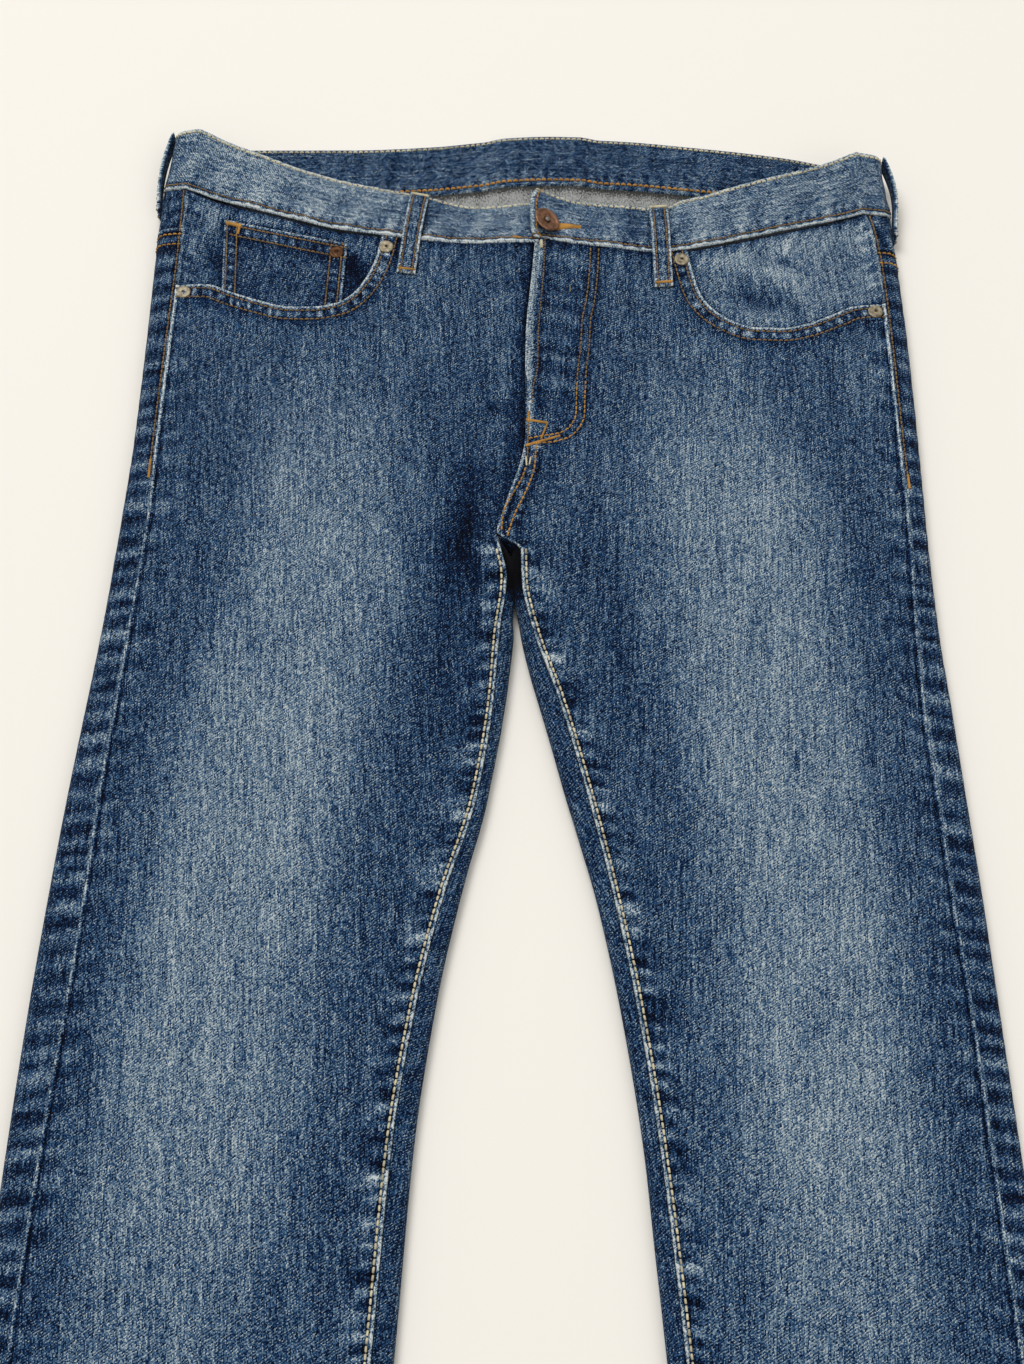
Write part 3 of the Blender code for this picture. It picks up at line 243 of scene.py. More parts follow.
# Loops, pockets and hardware
LOOP_WIDTH = 11.5
FRONT_LOOP_X = {-1: (-60.5, -68.0), 1: (87.0, 88.5)}
LOOP_FOOT = 27.5
SIDE_LOOP_BOW = {-1: 2.4, 1: 3.9}
COIN_CORNERS = ((-181.5, 478.0), (-104.5, 457.0), (-107.0, 403.0), (-180.0, 416.5))
COIN_WIDTH, COIN_DEPTH = 78.0, 54.0
FLY_FACING_LENGTH, FLY_FACING_SPAN = 130.0, 45.0
BACK_POCKET_WIDTH = 142.0
BACK_POCKET_HEIGHT = 160.0
BACK_POCKET_CENTRE = {-1: (-112.0, 342.0), 1: (122.0, 340.0)}
BACK_POCKET_TAPER = 18.0
BACK_POCKET_POINT = 18.0
POCKET_MARGIN, POCKET_EASE = 28.0, 20.0
LOOP_MARGIN, LOOP_REACH, LOOP_EASE = 18.0, 50.0, 14.0
RIVET_RADIUS = 4.6
# Profiles of the fittings: (radius, height) pairs from the middle of the top outwards
RIVET_DETAIL = (
    (0, 1.45), (0.5, 1.4), (0.8, 1.12), (1, 0.86), (1.7, 0.84), (2.4, 0.88), (3.1, 0.94),
    (3.7, 0.98), (4.15, 0.9), (4.45, 0.7), (RIVET_RADIUS, 0.4), (4.5, 0.12), (4.3, 0), (0, 0),
)
RIVET_PLACES = {
    "rivet_right_outer": (-1, -203.0, 421.5),
    "rivet_right_inner": (-1, -80.5, 453.0),
    "rivet_left_inner": (1, 100.0, 443.5),
    "rivet_left_outer": (1, 216.0, 407.0),
}
COIN_RIVET_PLACE = (-111.0, 450.5)
BUTTON_RADIUS = 8.5
BUTTON_DETAIL = (
    (0, 5.75), (0.8, 5.72), (1.5, 5.45), (1.9, 4.95), (2.5, 4.62), (3.3, 4.6), (3.8, 4.75),
    (4.2, 4.78), (4.7, 4.66), (5.6, 4.75), (6.4, 5.1), (7, 5.42), (7.6, 5.5), (8.1, 5.36),
    (8.45, 5), (BUTTON_RADIUS, 4.6), (8.4, 4.2), (8, 3.95), (7.4, 3.8), (4, 3.68), (2.4, 3.6),
)
BUTTON_PLACE = (15.8, 467.4)
BUTTON_AXIS = (0.49, 0.06, 0.87)
BUTTON_STAND = 1.1
SHANK_RADIUS = 1.8
SLOT_START_X, SLOT_LENGTH, SLOT_WIDTH = 11.0, 21.0, 4.4

BACK_MARKS = 6  # the back's first rows run aslant, from the yoke seam to y = 316
COMMON_Y = (316.0, 302.0, 288.0, 276.0, 263.0)

# Sewing lines seen on the front
FLY_SEWING = (
    (49.5, 450.5), (48.5, 432.5), (46.5, 412.5), (43.5, 394.5), (42.5, 376.5), (40.5, 359.5),
    (39.5, 341.5), (39, 328.5), (36, 320.5), (29.5, 313.8), (20.5, 310.8), (12.5, 309.6),
    (4.5, 307.6),
)
CROTCH_SEWING = (
    (
        (10.9, 311), (10.3, 303), (9.9, 295.5), (7.9, 286.2), (3, 272.5), (-1.8, 261.3),
        (-6.2, 246.5),
    ),
    (
        (4.6, 293), (2.6, 286.2), (-0.8, 279.2), (-5, 271), (-8.3, 262.5), (-9.6, 250.5),
    ),
)
ROLL_SEWING = ((6.2, 326.0), (5.8, 314.0), (5.6, 304.0), (5.2, 296.5))
SIDE_TACK_Y = {-1: 295.0, 1: 287.0}
# Bar tacks and short stitches of the fly and its foot: thread, both ends, width
FLY_TACKS = (
    ("orange", ((5.0, 325.6), (17.4, 323.6)), 1.5),
    ("orange", ((17.2, 323.2), (13.4, 312.6)), 1.1),
    ("orange", ((24.5, 315.0), (13.8, 311.2)), 1.3),
    ("orange", ((14.4, 311.6), (4.6, 308.0)), 1.6),
    ("orange", ((6.4, 331.0), (6.2, 324.0)), 1.4),
    ("cream", ((14.4, 456.0), (14.6, 450.0)), 1.7),
    ("cream", ((4.6, 300.0), (5.0, 294.0)), 0.9),
    ("cream", ((6.6, 294.6), (7.4, 299.6)), 0.9),
    ("cream", ((31.6, 421.3), (31.6, 417.4)), 0.5),
)
TACK_SPACING = 0.62
# Bar tacks of the coin pocket: both ends, width, spacing
COIN_TACKS = (
    (((-180.2, 475.2), (-170.6, 472.6)), 2.4, TACK_SPACING),
    (((-171.8, 472.0), (-172.6, 466.2)), 1.6, 0.9),
)
SLOT_SEWING_X = (19.0, 38.5)
# Distances of the rows of stitches from the edges that they follow
SIDE_ROW, INSEAM_ROW, HEM_ROW, LOOP_ROW = 1.5, 2.9, 16.5, 2.3
MOUTH_ROWS, YOKE_ROWS, CENTRE_BACK_ROWS = (3.0, 9.5), (4.6, 12.4), (2.4, 9.0)
COIN_TOP_ROWS, COIN_LEFT_ROWS, COIN_RIGHT_ROWS = (3.4, 11.0), (2.2, 8.4), (3.0, 10.0)
POCKET_ROWS, POCKET_TOP_ROWS = (2.4, 8.6), (3.0, 14.0)
BAND_FOOT_ROW, BAND_END_ROW, FLY_ROW_GAP = 3.2, 3.6, 5.0
HEM_DEPTH = 19.0
CENTRE_BACK_FOOT_Y = 262.0
RESTING_HEIGHT = 3.5  # cloth whose middle is lower than this lies on the surface
MOUTH_SHARES = np.linspace(0, 1, 90)

# How the washed-out band runs down each leg's front
PALE_COLUMNS = ("y", "centre", "half_width", "strength")
RIGHT_PALE = (
    (HEM_Y, -184, 44, 0.35), (-300, -184, 50, 0.5), (-200, -178, 58, 0.7), (-100, -169, 64, 1),
    (100, -148, 66, 1), (250, -116, 62, 0.9), (310, -116, 54, 0.65), (360, -118, 50, 0.2),
    (400, -106, 40, 0),
)
LEFT_PALE = (
    (HEM_Y, 184, 44, 0.35), (-300, 182, 50, 0.5), (-200, 166, 60, 0.7), (-100, 163, 62, 1.05),
    (100, 149, 64, 1), (250, 132, 64, 0.95), (310, 122, 56, 0.7), (360, 118, 52, 0.3),
    (400, 120, 40, 0),
)

# Tones along the material's ramp, 0 for unworn indigo and 1 for bare yarn
LEG_TONE, THIGH_WASH, BACK_TONE = 0.105, 0.3, 0.1
FACING_TONE = {-1: 0.25, 1: 0.4}
COIN_TONE, FLY_TONE, LOOP_TONE, YOKE_TONE = 0.02, 0.3, 0.22, 0.08
# (x, tone) along the waistband's front: darker towards the end of the lap
BAND_TONES = {
    -1: ((-205, 0.35), (-180, 0.42), (-130, 0.43), (-90, 0.36), (0, 0.35)),
    1: ((0, 0.26), (60, 0.26), (100, 0.43), (120, 0.43), (150, 0.33), (205, 0.33)),
}
LOOP_SHADE, LOOP_SHADE_ASIDE = 0.14, 14.0  # beside each loop, on the side of the fly
BAND_TONE_SET = 0.05
BAND_BACK_TONE = 0.24
BAND_INSIDE_TONE = 0.14

# Distances of the grid lines from an edge, close together where the cloth rounds over
EDGE_LINES = (0, 0.25, 0.7, 1.4, 2.3, 3.4, 4.6, 5.9, 7.3, 8.8, 10.4, 12.2, 14.4)


def curve_through(pairs):
    """A smooth curve without overshoot through (place, value) pairs, for numbers or arrays."""
    place, value = np.array(sorted(pairs), float).T
    step = np.diff(place)
    rise = np.diff(value) / step
    slope = np.zeros(len(place))
    slope[0], slope[-1] = rise[0], rise[-1]
    before, after = rise[:-1], rise[1:]
    same_way = before * after > 0
    slope[1:-1][same_way] = (2 * before * after)[same_way] / (before + after)[same_way]

    def at(where):
        where = np.clip(where, place[0], place[-1])
        k = np.clip(np.searchsorted(place, where, "right") - 1, 0, len(step) - 1)
        t = (where - place[k]) / step[k]
        start = value[k] * (1 + 2 * t) * (1 - t) ** 2 + slope[k] * step[k] * t * (1 - t) ** 2
        end = value[k + 1] * t * t * (3 - 2 * t) + slope[k + 1] * step[k] * t * t * (t - 1)
        return start + end

    return at


def column(rows, columns, name):
    """The curve of one named column of a table against the table's first column."""
    k = columns.index(name)
    return curve_through([(row[0], row[k]) for row in rows])


def ease(t):
    t = np.clip(t, 0.0, 1.0)
    return t * t * (3 - 2 * t)


def mix(a, b, t):
    return a + (b - a) * t


def bell(away, width, place=0.0):
    """A bell-shaped weight: 1 at a place, and about a third a width away from it."""
    return np.exp(-(((away - place) / width) ** 2))


def lengths_along(points):
    """Length of a polyline up to each of its points."""
    return np.concatenate([[0], np.cumsum(np.linalg.norm(np.diff(points, axis=0), axis=1))])


def of_half(rows, half):
    """The rows of a table that lie on one half, without their first column."""
    return [row[1:] for row in rows if row[0] == half.sign]


outer_radius = curve_through(OUTER_RADIUS)
crown = curve_through(CROWN)
front_centre_height = curve_through(FRONT_CENTRE_HEIGHT)
inner_level = curve_through(INNER_LEVEL)
centre_back = curve_through(CENTRE_BACK)
back_waist = curve_through(BACK_WAIST)
inner_turn = column(INNER_TURN, INNER_TURN_COLUMNS, "turn_degrees")
inner_radius = column(INNER_TURN, INNER_TURN_COLUMNS, "radius")


class Half:
    """The curves of one half of the garment, -1 for the wearer's right and +1 for the left."""

    def __init__(self, sign):
        table = RIGHT_LEG if sign < 0 else LEFT_LEG
        pale = RIGHT_PALE if sign < 0 else LEFT_PALE
        self.sign = sign
        self.name = "right" if sign < 0 else "left"
        self.outer_fold = column(table, LEG_COLUMNS, "outer_fold")
        self.outseam = column(table, LEG_COLUMNS, "outseam")
        self.front_edge = column(table, LEG_COLUMNS, "front_edge")
        self.front_waist = curve_through(RIGHT_FRONT_WAIST if sign < 0 else LEFT_FRONT_WAIST)
        self.inner_run = column(INNER_TURN, INNER_TURN_COLUMNS, f"{self.name}_run")
        self.folds = of_half(FOLDS, self)
        self.pale = [column(pale, PALE_COLUMNS, name) for name in PALE_COLUMNS[1:]]

    def outer_profile(self, y):
        """Radius, turn and straight run of the side fold, which ends at the outseam."""
        radius = outer_radius(y)
        strip = abs(self.outer_fold(y) - self.outseam(y)) - CLOTH / 2
        reach = strip - radius * (1 - math.sin(OUTER_TURN))
        return radius, OUTER_TURN, np.maximum(0.5, reach / -math.cos(OUTER_TURN))

    def inner_profile(self, y):
        """Radius, turn and straight run of the fold at the leg's inner side."""
        return inner_radius(y), np.radians(inner_turn(y)), self.inner_run(y)

    def waist_side_y(self):
        """Where the waistband's seam crosses the outseam."""
        return float(self.front_waist(self.outseam(SIDE_WAIST_Y)))


RIGHT, LEFT = Half(-1), Half(1)
HALVES = (RIGHT, LEFT)


def end_height(radius, turn, run):
    """Height of a sheet that turns up from the surface and runs straight on."""
    return CLOTH / 2 + radius * (1 - np.cos(turn)) + run * np.sin(turn)


def inner_height(half, y):
    """Height of the front's inner edge: the inseam, or the centre front above the crotch."""
    join = end_height(*half.inner_profile(y))
    return np.where(y > CROTCH_JOIN_Y, front_centre_height(y), join)


def soft_lines(lines, x, y):
    """Height that soft folds or creases add: each is a line with a width and a height."""
    total = np.zeros(np.broadcast(x, y).shape)
    for top_x, top_y, foot_x, foot_y, width, height in lines:
        run_x, run_y = foot_x - top_x, foot_y - top_y
        if abs(run_y) > abs(run_x):
            t = (y - top_y) / run_y
            aside = (x - mix(top_x, foot_x, t)) / width
        else:
            t = (x - top_x) / run_x
            aside = (y - mix(top_y, foot_y, t)) / width
        inside = (t > 0) & (t < 1)
        total += np.where(inside, height * np.sin(np.pi * t) ** 2 * np.exp(-aside * aside), 0.0)
    return total


def top_height(half, x, y):
    """Height of the middle of the front's cloth above the surface it lies on."""
    outer, inner = half.outseam(y), half.front_edge(y)
    u = np.clip((x - outer) / (inner - outer), -0.2, 1.2)
    level = mix(end_height(*half.outer_profile(y)), inner_level(y), u)
    level = level + (inner_height(half, y) - inner_level(y)) * ease(np.maximum(u, 0.0)) ** 4
    edge = ease(np.minimum(u, 1 - u) * 6)
    bulge = crown(y) * (1 - (2 * u - 1) ** 2)
    return level + bulge + edge * soft_lines(half.folds, x, y)


def lap_lift(x, y):
    """How far the left front is lifted where it laps over the fly."""
    beyond = x - LEFT.front_edge(y)
    return LAP_LIFT * ease((y - FLY_END_Y) / 40) * (1 - ease((beyond - 48) / 35))


def set_back(half, y):
    """How far the lap's edge lies back, so that the facing's rolled edge shows beside it."""
    return FLY_FACING_PROUD * ease((y - PROUD_FROM_Y) / PROUD_EASE) * (half.sign > 0)


def front_height(half, x, y):
    return top_height(half, x, y) + (lap_lift(x, y) if half.sign > 0 else 0.0)


def outside_distance(x, y, centre, half_width, half_height):
    """Distance of a point outside a rectangle, 0 inside it."""
    aside = np.maximum(abs(x - centre[0]) - half_width, 0.0)
    along = np.maximum(abs(y - centre[1]) - half_height, 0.0)
    return np.hypot(aside, along)


def underside_rise(x, y):
    """How far the back is pushed up by the pocket or the belt loop that lies under it."""
    loop_size = (LOOP_WIDTH / 2 + LOOP_MARGIN, LOOP_REACH)
    loop = outside_distance(x, y, (centre_back(BACK_LOOP_Y), BACK_LOOP_Y), *loop_size)
    rise = (STRAP + SEAM) * (1 - ease(loop / LOOP_EASE))
    for half in HALVES:
        size = (BACK_POCKET_WIDTH / 2 + POCKET_MARGIN, BACK_POCKET_HEIGHT / 2 + POCKET_MARGIN)
        pocket = outside_distance(x, y, BACK_POCKET_CENTRE[half.sign], *size)
        rise = np.maximum(rise, LAYER * (1 - ease(pocket / POCKET_EASE)))
    return rise


def back_edge(half, y):
    """Inner edge of the back: the centre back, or beside the inseam below the crotch."""
    upright = CLOTH / 2 * np.sin(np.radians(inner_turn(y)))
    return np.where(
        y >= CROTCH_Y,
        centre_back(y) + half.sign * (SEAM / 2 + upright),
        half.front_edge(y) - half.sign * (SEAM / 2 + upright),
    )


def turned(start, radius, turn, run, steps):
    """(outward, height) points of a sheet that leaves the surface at start, turns and runs on."""
    angle = turn * np.arange(steps + 1) / steps
    height = CLOTH / 2 + radius * (1 - np.cos(angle))
    points = np.stack([start + radius * np.sin(angle), height], axis=1)
    last = points[-1] + run * np.array([np.cos(turn), np.sin(turn)])
    return np.concatenate([points, last[None]])


# Columns of the back's grid, by stretch of the way round a leg
STRIP_COLUMNS, SIDE_COLUMNS, UNDER_COLUMNS, INNER_COLUMNS = 8, 14, 34, 26
INNER_SPAN = 32.0
TURN_STEPS = 48


def back_row(half, y_out, y_in, under_y=None):
    """Points of one row of the back, and how far along the cloth each lies."""
    sign = half.sign
    radius, turn, run = half.outer_profile(y_out)
    fold_start = sign * half.outer_fold(y_out) - CLOTH / 2 - radius
    outer = turned(fold_start, radius, turn, run, TURN_STEPS)
    outer[-1, 0] += JOIN
    radius, turn, run = half.inner_profile(y_in)
    inner_end = -sign * back_edge(half, y_in)
    inner_start = inner_end - radius * math.sin(turn) - run * math.cos(turn)
    inner = turned(inner_start, radius, turn, run, TURN_STEPS) * (-1, 1)

    way = np.concatenate([outer[::-1], inner])
    lengths = lengths_along(way)
    strip_end, fold_end, total = lengths[1], lengths[TURN_STEPS + 1], lengths[-1]
    under_end = total - INNER_SPAN
    first = np.linspace(0, 1, STRIP_COLUMNS, endpoint=False) ** 1.4
    last = 1 - np.linspace(1, 0, INNER_COLUMNS + 1) ** 1.25
    stops = np.concatenate(
        [
            strip_end * first,
            np.linspace(strip_end, fold_end, SIDE_COLUMNS, endpoint=False),
            np.linspace(fold_end, under_end, UNDER_COLUMNS, endpoint=False),
            mix(under_end, total, last),
        ]
    )
    x = sign * np.interp(stops, lengths, way[:, 0])
    height = np.interp(stops, lengths, way[:, 1])
    y = mix(y_out, y_in, ease((stops - fold_end) / (under_end - fold_end)))
    if under_y is not None:
        share = ease((stops - strip_end) / (fold_end - strip_end))
        y = np.where(stops > strip_end, mix(y, under_y(x), share), y)
    flat = 1 - ease((height - CLOTH / 2) / 4)
    return np.stack([x, y, height + flat * underside_rise(x, y)], axis=1), stops


def stations(length, coarse):
    """Distances along a length, close together near both ends."""
    edge = np.array(EDGE_LINES)
    middle = np.arange(edge[-1] + coarse * 0.7, length - edge[-1] - coarse * 0.4, coarse)
    return np.concatenate([edge, middle, length - edge[::-1]])


def shares(length, coarse):
    """The same stations as shares of the length."""
    return stations(length, coarse) / length


# Heights where rows of the back meet its outer and its inner side, below the yoke's seam
# and the pocket mouth's end
BACK_OUTER_Y = (390.0, 366.0, 340.0, 316.0)
BACK_INNER_Y = (430.0, 408.0, 384.0, 362.0, 338.0, 316.0)


def back_grid(half, coarse=3.2):
    """Grid of the back leg from the yoke seam to the hem, and the arc lengths along its rows."""
    side_y, centre_y = YOKE_SIDE_Y[half.sign] - SEAM / 2, YOKE_CENTRE_Y - SEAM / 2
    mouth_end = MOUTH_END_Y[half.sign]
    outer = (side_y, mix(side_y, mouth_end, 0.5), mouth_end, *BACK_OUTER_Y)
    inner = (centre_y, *BACK_INNER_Y)
    marks = (np.array(outer) + inner) / 2
    place = stations(marks[0] - HEM_Y, coarse)
    k = np.interp(marks[0] - place, marks[::-1], np.arange(BACK_MARKS, -1, -1.0))
    below = np.minimum(marks[0] - place, COMMON_Y[0])
    y_out = np.where(k < BACK_MARKS, np.interp(k, np.arange(BACK_MARKS + 1), outer), below)
    y_in = np.where(k < BACK_MARKS, np.interp(k, np.arange(BACK_MARKS + 1), inner), below)
    rows = [back_row(half, a, b) for a, b in zip(y_out, y_in)]
    return np.array([r[0] for r in rows]), np.array([r[1] for r in rows])


YOKE_DEPTH = 50.0


def yoke_grid(half, coarse=3.0):
    """Grid of the yoke, from the waistband's seam to the yoke seam."""
    below = JOIN * 2
    rows = []
    for t in shares(YOKE_DEPTH, coarse):
        y_out = mix(half.waist_side_y() - below, YOKE_SIDE_Y[half.sign] + SEAM / 2, t)
        y_in = mix(back_waist(centre_back(BACK_WAIST_Y)) - below, YOKE_CENTRE_Y + SEAM / 2, t)

        def under_y(x, share=1 - t, y_out=y_out, y_in=y_in):
            fold = half.outer_fold(y_out)
            across = ease((x - fold) / (back_edge(half, y_in) - fold))
            return mix(mix(y_out, y_in, across), back_waist(x) - below, share)

        rows.append(back_row(half, y_out, y_in, under_y))
    return np.array([r[0] for r in rows]), np.array([r[1] for r in rows])


def mouth_curve(half):
    """The pocket mouth as a function of the share of its length, from the outseam."""
    end_y = MOUTH_END_Y[half.sign]
    top_x = MOUTH_TOP_X[half.sign]
    points = [(half.outseam(end_y) - half.sign * JOIN, end_y)]
    points += RIGHT_MOUTH if half.sign < 0 else LEFT_MOUTH
    points += [(top_x, half.front_waist(top_x) - SEAM)]
    points = np.array(points, float)
    lengths = lengths_along(points)
    share = lengths / lengths[-1]
    x_at = curve_through(list(zip(share, points[:, 0])))
    y_at = curve_through(list(zip(share, points[:, 1])))
    return lambda t: np.stack([x_at(t), y_at(t)], axis=-1)


MOUTH_COLUMNS, WAIST_COLUMNS = 9, 5
FRONT_WIDTH = 225.0
# Heights where rows of the front meet its outer and its inner side, below the top row
FRONT_OUTER_Y, FRONT_INNER_Y = (390.0, 366.0, 340.0), (422.0, 384.0, 348.0)


def front_grid(half, row_step=3.4, column_step=2.1):
    """Grid of a front leg: its top row follows the pocket mouth and the waistband's seam."""
    mouth = mouth_curve(half)
    split = MOUTH_COLUMNS / (MOUTH_COLUMNS + WAIST_COLUMNS)
    share = shares(FRONT_WIDTH, column_step)
    share[np.argmin(abs(share - split))] = split
    inner_x = half.front_edge(LAP_TOP_Y) + half.sign * SEAM / 2 + set_back(half, LAP_TOP_Y)
    round_mouth = mouth(np.minimum(share / split, 1.0))
    waist_x = mix(MOUTH_TOP_X[half.sign], inner_x, np.maximum((share - split) / (1 - split), 0))
    waist_y = half.front_waist(waist_x) - JOIN * 2
    top_x = np.where(share < split, round_mouth[:, 0], waist_x)
    top_y = np.where(share < split, round_mouth[:, 1], waist_y)

    mouth_end = MOUTH_END_Y[half.sign]
    outer = np.array((mouth_end, *FRONT_OUTER_Y, *COMMON_Y))
    inner = np.array((top_y[-1], *FRONT_INNER_Y, *COMMON_Y))
    shaped = len(outer) - 1
    way = np.concatenate([[0], np.cumsum(-np.diff(outer + inner) / 2)])
    place = stations(way[-1] + COMMON_Y[-1] - HEM_Y, row_step)
    k = np.interp(place, way, np.arange(shaped + 1.0))
    below = COMMON_Y[-1] - (place - way[-1])
    straight = place > way[-1]
    y_out = np.where(straight, below, np.interp(k, np.arange(shaped + 1), outer))[:, None]
    y_in = np.where(straight, below, np.interp(k, np.arange(shaped + 1), inner))[:, None]
    pull = ((1 - k / shaped) ** 2)[:, None]

    y = mix(y_out, y_in, share) + pull * (top_y - mix(mouth_end, top_y[-1], share))
    top_share = (top_x - half.outseam(top_y)) / (half.front_edge(top_y) - half.outseam(top_y))
    across = np.clip(mix(share, top_share, pull), 0.0, 1.0)
    outer_x = half.outseam(y) - half.sign * JOIN
    edge_x = half.front_edge(y) + half.sign * JOIN + set_back(half, y)
    x = mix(outer_x, edge_x, across)
    x = x + pull**4 * (top_x - x[0])
    return np.stack([x, y, front_height(half, x, y)], axis=-1)


def facing_height(half, x, y):
    """The pocket facing hangs one layer under the front, and two in the middle."""
    side = abs(x - half.outseam(y)) - 2
    top = half.front_waist(x) - y - 2
    return top_height(half, x, y) - LAYER * (1 + ease(side / 14) * ease(top / 14))


def facing_grid(half, count_x=56, count_y=44):
    """Grid of the pocket facing, seen in the pocket mouth and tucked under its edge."""
    samples = mouth_curve(half)(np.linspace(0, 1, 61))
    samples = samples[np.argsort(samples[:, 0])]
    mouth_y = curve_through([(x + k * 1e-6, y) for k, (x, y) in enumerate(samples)])
    inner_x = MOUTH_TOP_X[half.sign] - half.sign * 10
    share = np.linspace(0, 1, count_x + 1)[None]
    down = np.linspace(0, 1, count_y + 1)[:, None]
    x = mix(half.outseam(FACING_Y) - half.sign * JOIN, inner_x, share)
    top_y = half.front_waist(x) - JOIN * 2
    deep = 18 + 12 * (1 - ease((abs(x - inner_x) - 6) / 10))
    y = mix(top_y, np.minimum(mouth_y(x) - deep, top_y - 12), down)
    x = mix(half.outseam(y) - half.sign * JOIN, inner_x, share)
    return np.stack([x, y, facing_height(half, x, y)], axis=-1)


def coin_grid():
    """Grid of the coin pocket, a patch on the right facing that runs under the mouth."""
    (ax, ay), (bx, by), (cx, cy), (dx, dy) = COIN_CORNERS
    u, t = shares(COIN_WIDTH, 1.9)[None], shares(COIN_DEPTH, 1.9)[:, None]
    x = mix(mix(ax, dx, t), mix(bx, cx, t), u)
    y = mix(mix(ay, dy, t), mix(by, cy, t), u)
    return np.stack([x, y, facing_height(RIGHT, x, y) + LAYER], axis=-1)


def fly_facing_grid():
    """Grid of the buttonhole facing, under the lap and proud of its edge."""
    width = curve_through(FLY_FACING_WIDTH)
    down = shares(FLY_FACING_LENGTH, 2.0)[:, None]
    y = mix(LEFT.front_waist(20.0) - SEAM - 1.0, FACING_FOOT_Y, down)
    edge = LEFT.front_edge(y)
    set_in = mix(FLY_FACING_PROUD, FACING_FOOT_SET, ease((y - PROUD_FROM_Y) / PROUD_EASE))
    x = mix(edge + set_in, edge + width(y), shares(FLY_FACING_SPAN, 3.0)[None])
    y_here = np.minimum(y, LEFT.front_waist(x) - SEAM - 0.6)
    height = top_height(LEFT, x, y_here) + lap_lift(x, y_here) - LAYER
    return np.stack([x, y_here, height], axis=-1)


def fly_shield_grid():
    """Grid of the fly shield, sewn to the right front and hidden by the lap."""
    down = np.linspace(0, 1, 50)[:, None]
    y = mix(RIGHT.front_waist(20.0) - SEAM - 4.0, SHIELD_FOOT_Y, down)
    edge = RIGHT.front_edge(y)
    sink = LAYER * (2 - ease((y - FLY_END_Y) / 40))
    x = edge + mix(*SHIELD_SIDES, np.linspace(0, 1, 18)[None])
    height = np.where(x < edge, top_height(RIGHT, x, y), top_height(LEFT, x, y)) - sink
    return np.stack([x, y + 0 * x, height], axis=-1)


def waist_seam(half, start_x, steps_front=136, steps_fold=26, steps_back=66):
    """Points of the waistband's seam on one half, from the centre front to the centre back."""
    lift = BAND / 2 - CLOTH / 2
    side_x = half.outseam(half.waist_side_y())
    x = mix(start_x, side_x, np.arange(steps_front) / steps_front)
    y = half.front_waist(x)
    if half.sign > 0:
        z = front_height(half, x, y)
    else:
        z = top_height(half, np.minimum(x, LEFT.front_edge(y)), y)
    front = np.stack([x, y, z + lift], axis=1)
    side_y = half.waist_side_y()
    radius, turn, run = half.outer_profile(side_y)
    fold_start = half.sign * half.outer_fold(side_y) - CLOTH / 2 - radius
    fold = turned(fold_start, radius, turn, run, steps_fold)[::-1]
    x = half.sign * fold[:, 0]
    y = mix(side_y, back_waist(x), ease((np.arange(len(x)) - 1) / steps_fold))
    fold = np.stack([x, y, fold[:, 1] + lift], axis=1)
    x = mix(x[-1], centre_back(BACK_WAIST_Y), np.arange(1, steps_back + 1) / steps_back)
    y = back_waist(x)
    back = np.stack([x, y, CLOTH / 2 + lift + underside_rise(x, y)], axis=1)
    return np.concatenate([front, fold, back])


BAND_DEPTH = 38.4
# (share of the band's depth from its seam, how far the rounded end of the lap draws back)
LAP_END = ((0, 3.4), (0.12, 1.2), (0.3, 0.1), (0.55, 0), (0.8, 1.6), (1, 5.4))


def band_half(half, seam, origin):
    """The waistband on one half, in rows from the seam to the top edge."""
    lean = RIGHT_BAND_LEAN if half.sign < 0 else LEFT_BAND_LEAN
    curves = [column(lean, BAND_LEAN_COLUMNS, name) for name in BAND_LEAN_COLUMNS[1:]]
    along = lengths_along(seam) + origin
    offset = np.stack([curve(along) for curve in curves], axis=1)
    share = shares(BAND_DEPTH, 1.9)
    return seam[None] + share[:, None, None] * offset[None]


def at_x(band, x, share):
    """Point of the front waistband at a place x, at a share of the way up from its seam."""
    line = mix(band[0], band[-1], share)
    for a, b in zip(line, line[1:]):
        low, high = sorted((a[0], b[0]))
        if low <= x <= high:
            return mix(a, b, (x - a[0]) / (b[0] - a[0]))
    return line[0]


def front_loop_grid(half, band):
    """Grid of a front belt loop, from the waistband's top edge to its foot on the front."""
    top_x, foot_x = FRONT_LOOP_X[half.sign]
    seam_x = mix(top_x, foot_x, 0.6)
    lay = BAND / 2 + SEAM + STRAP / 2
    across = stations_across()
    rows = []
    for t in np.linspace(0, 1, 34):
        row = []
        for c in across:
            point = at_x(band, mix(top_x, seam_x, t) + c, 1 - t)
            clear = lay + 0.25 + 2.4 * math.sin(math.pi * t)
            row.append((point[0], point[1] - 0.5 * (1 - t), point[2] + clear))
        rows.append(row)
    for t in np.linspace(0, 1, 22)[1:]:
        row = []
        for c in across:
            x, y, z = at_x(band, seam_x + c, 0.0)
            foot_y = y - LOOP_FOOT * t
            x += (foot_x - seam_x) * t
            panel = front_height(half, x, foot_y) + CLOTH / 2 + SEAM + STRAP / 2 + 0.2
            row.append((x, foot_y, mix(panel, z + lay + 0.25, 1 - ease(t * 4 / 3))))
        rows.append(row)
    return np.array(rows, float)


def stations_across():
    """Distances of the lines along a belt loop from its middle."""
    edge = LOOP_WIDTH / 2
    side = np.array([0.0, 0.8, 1.6, 2.4, 3.1, 3.8, 4.6, 5.2, edge - 0.2, edge])
    return np.concatenate([-side[::-1], side[1:]])


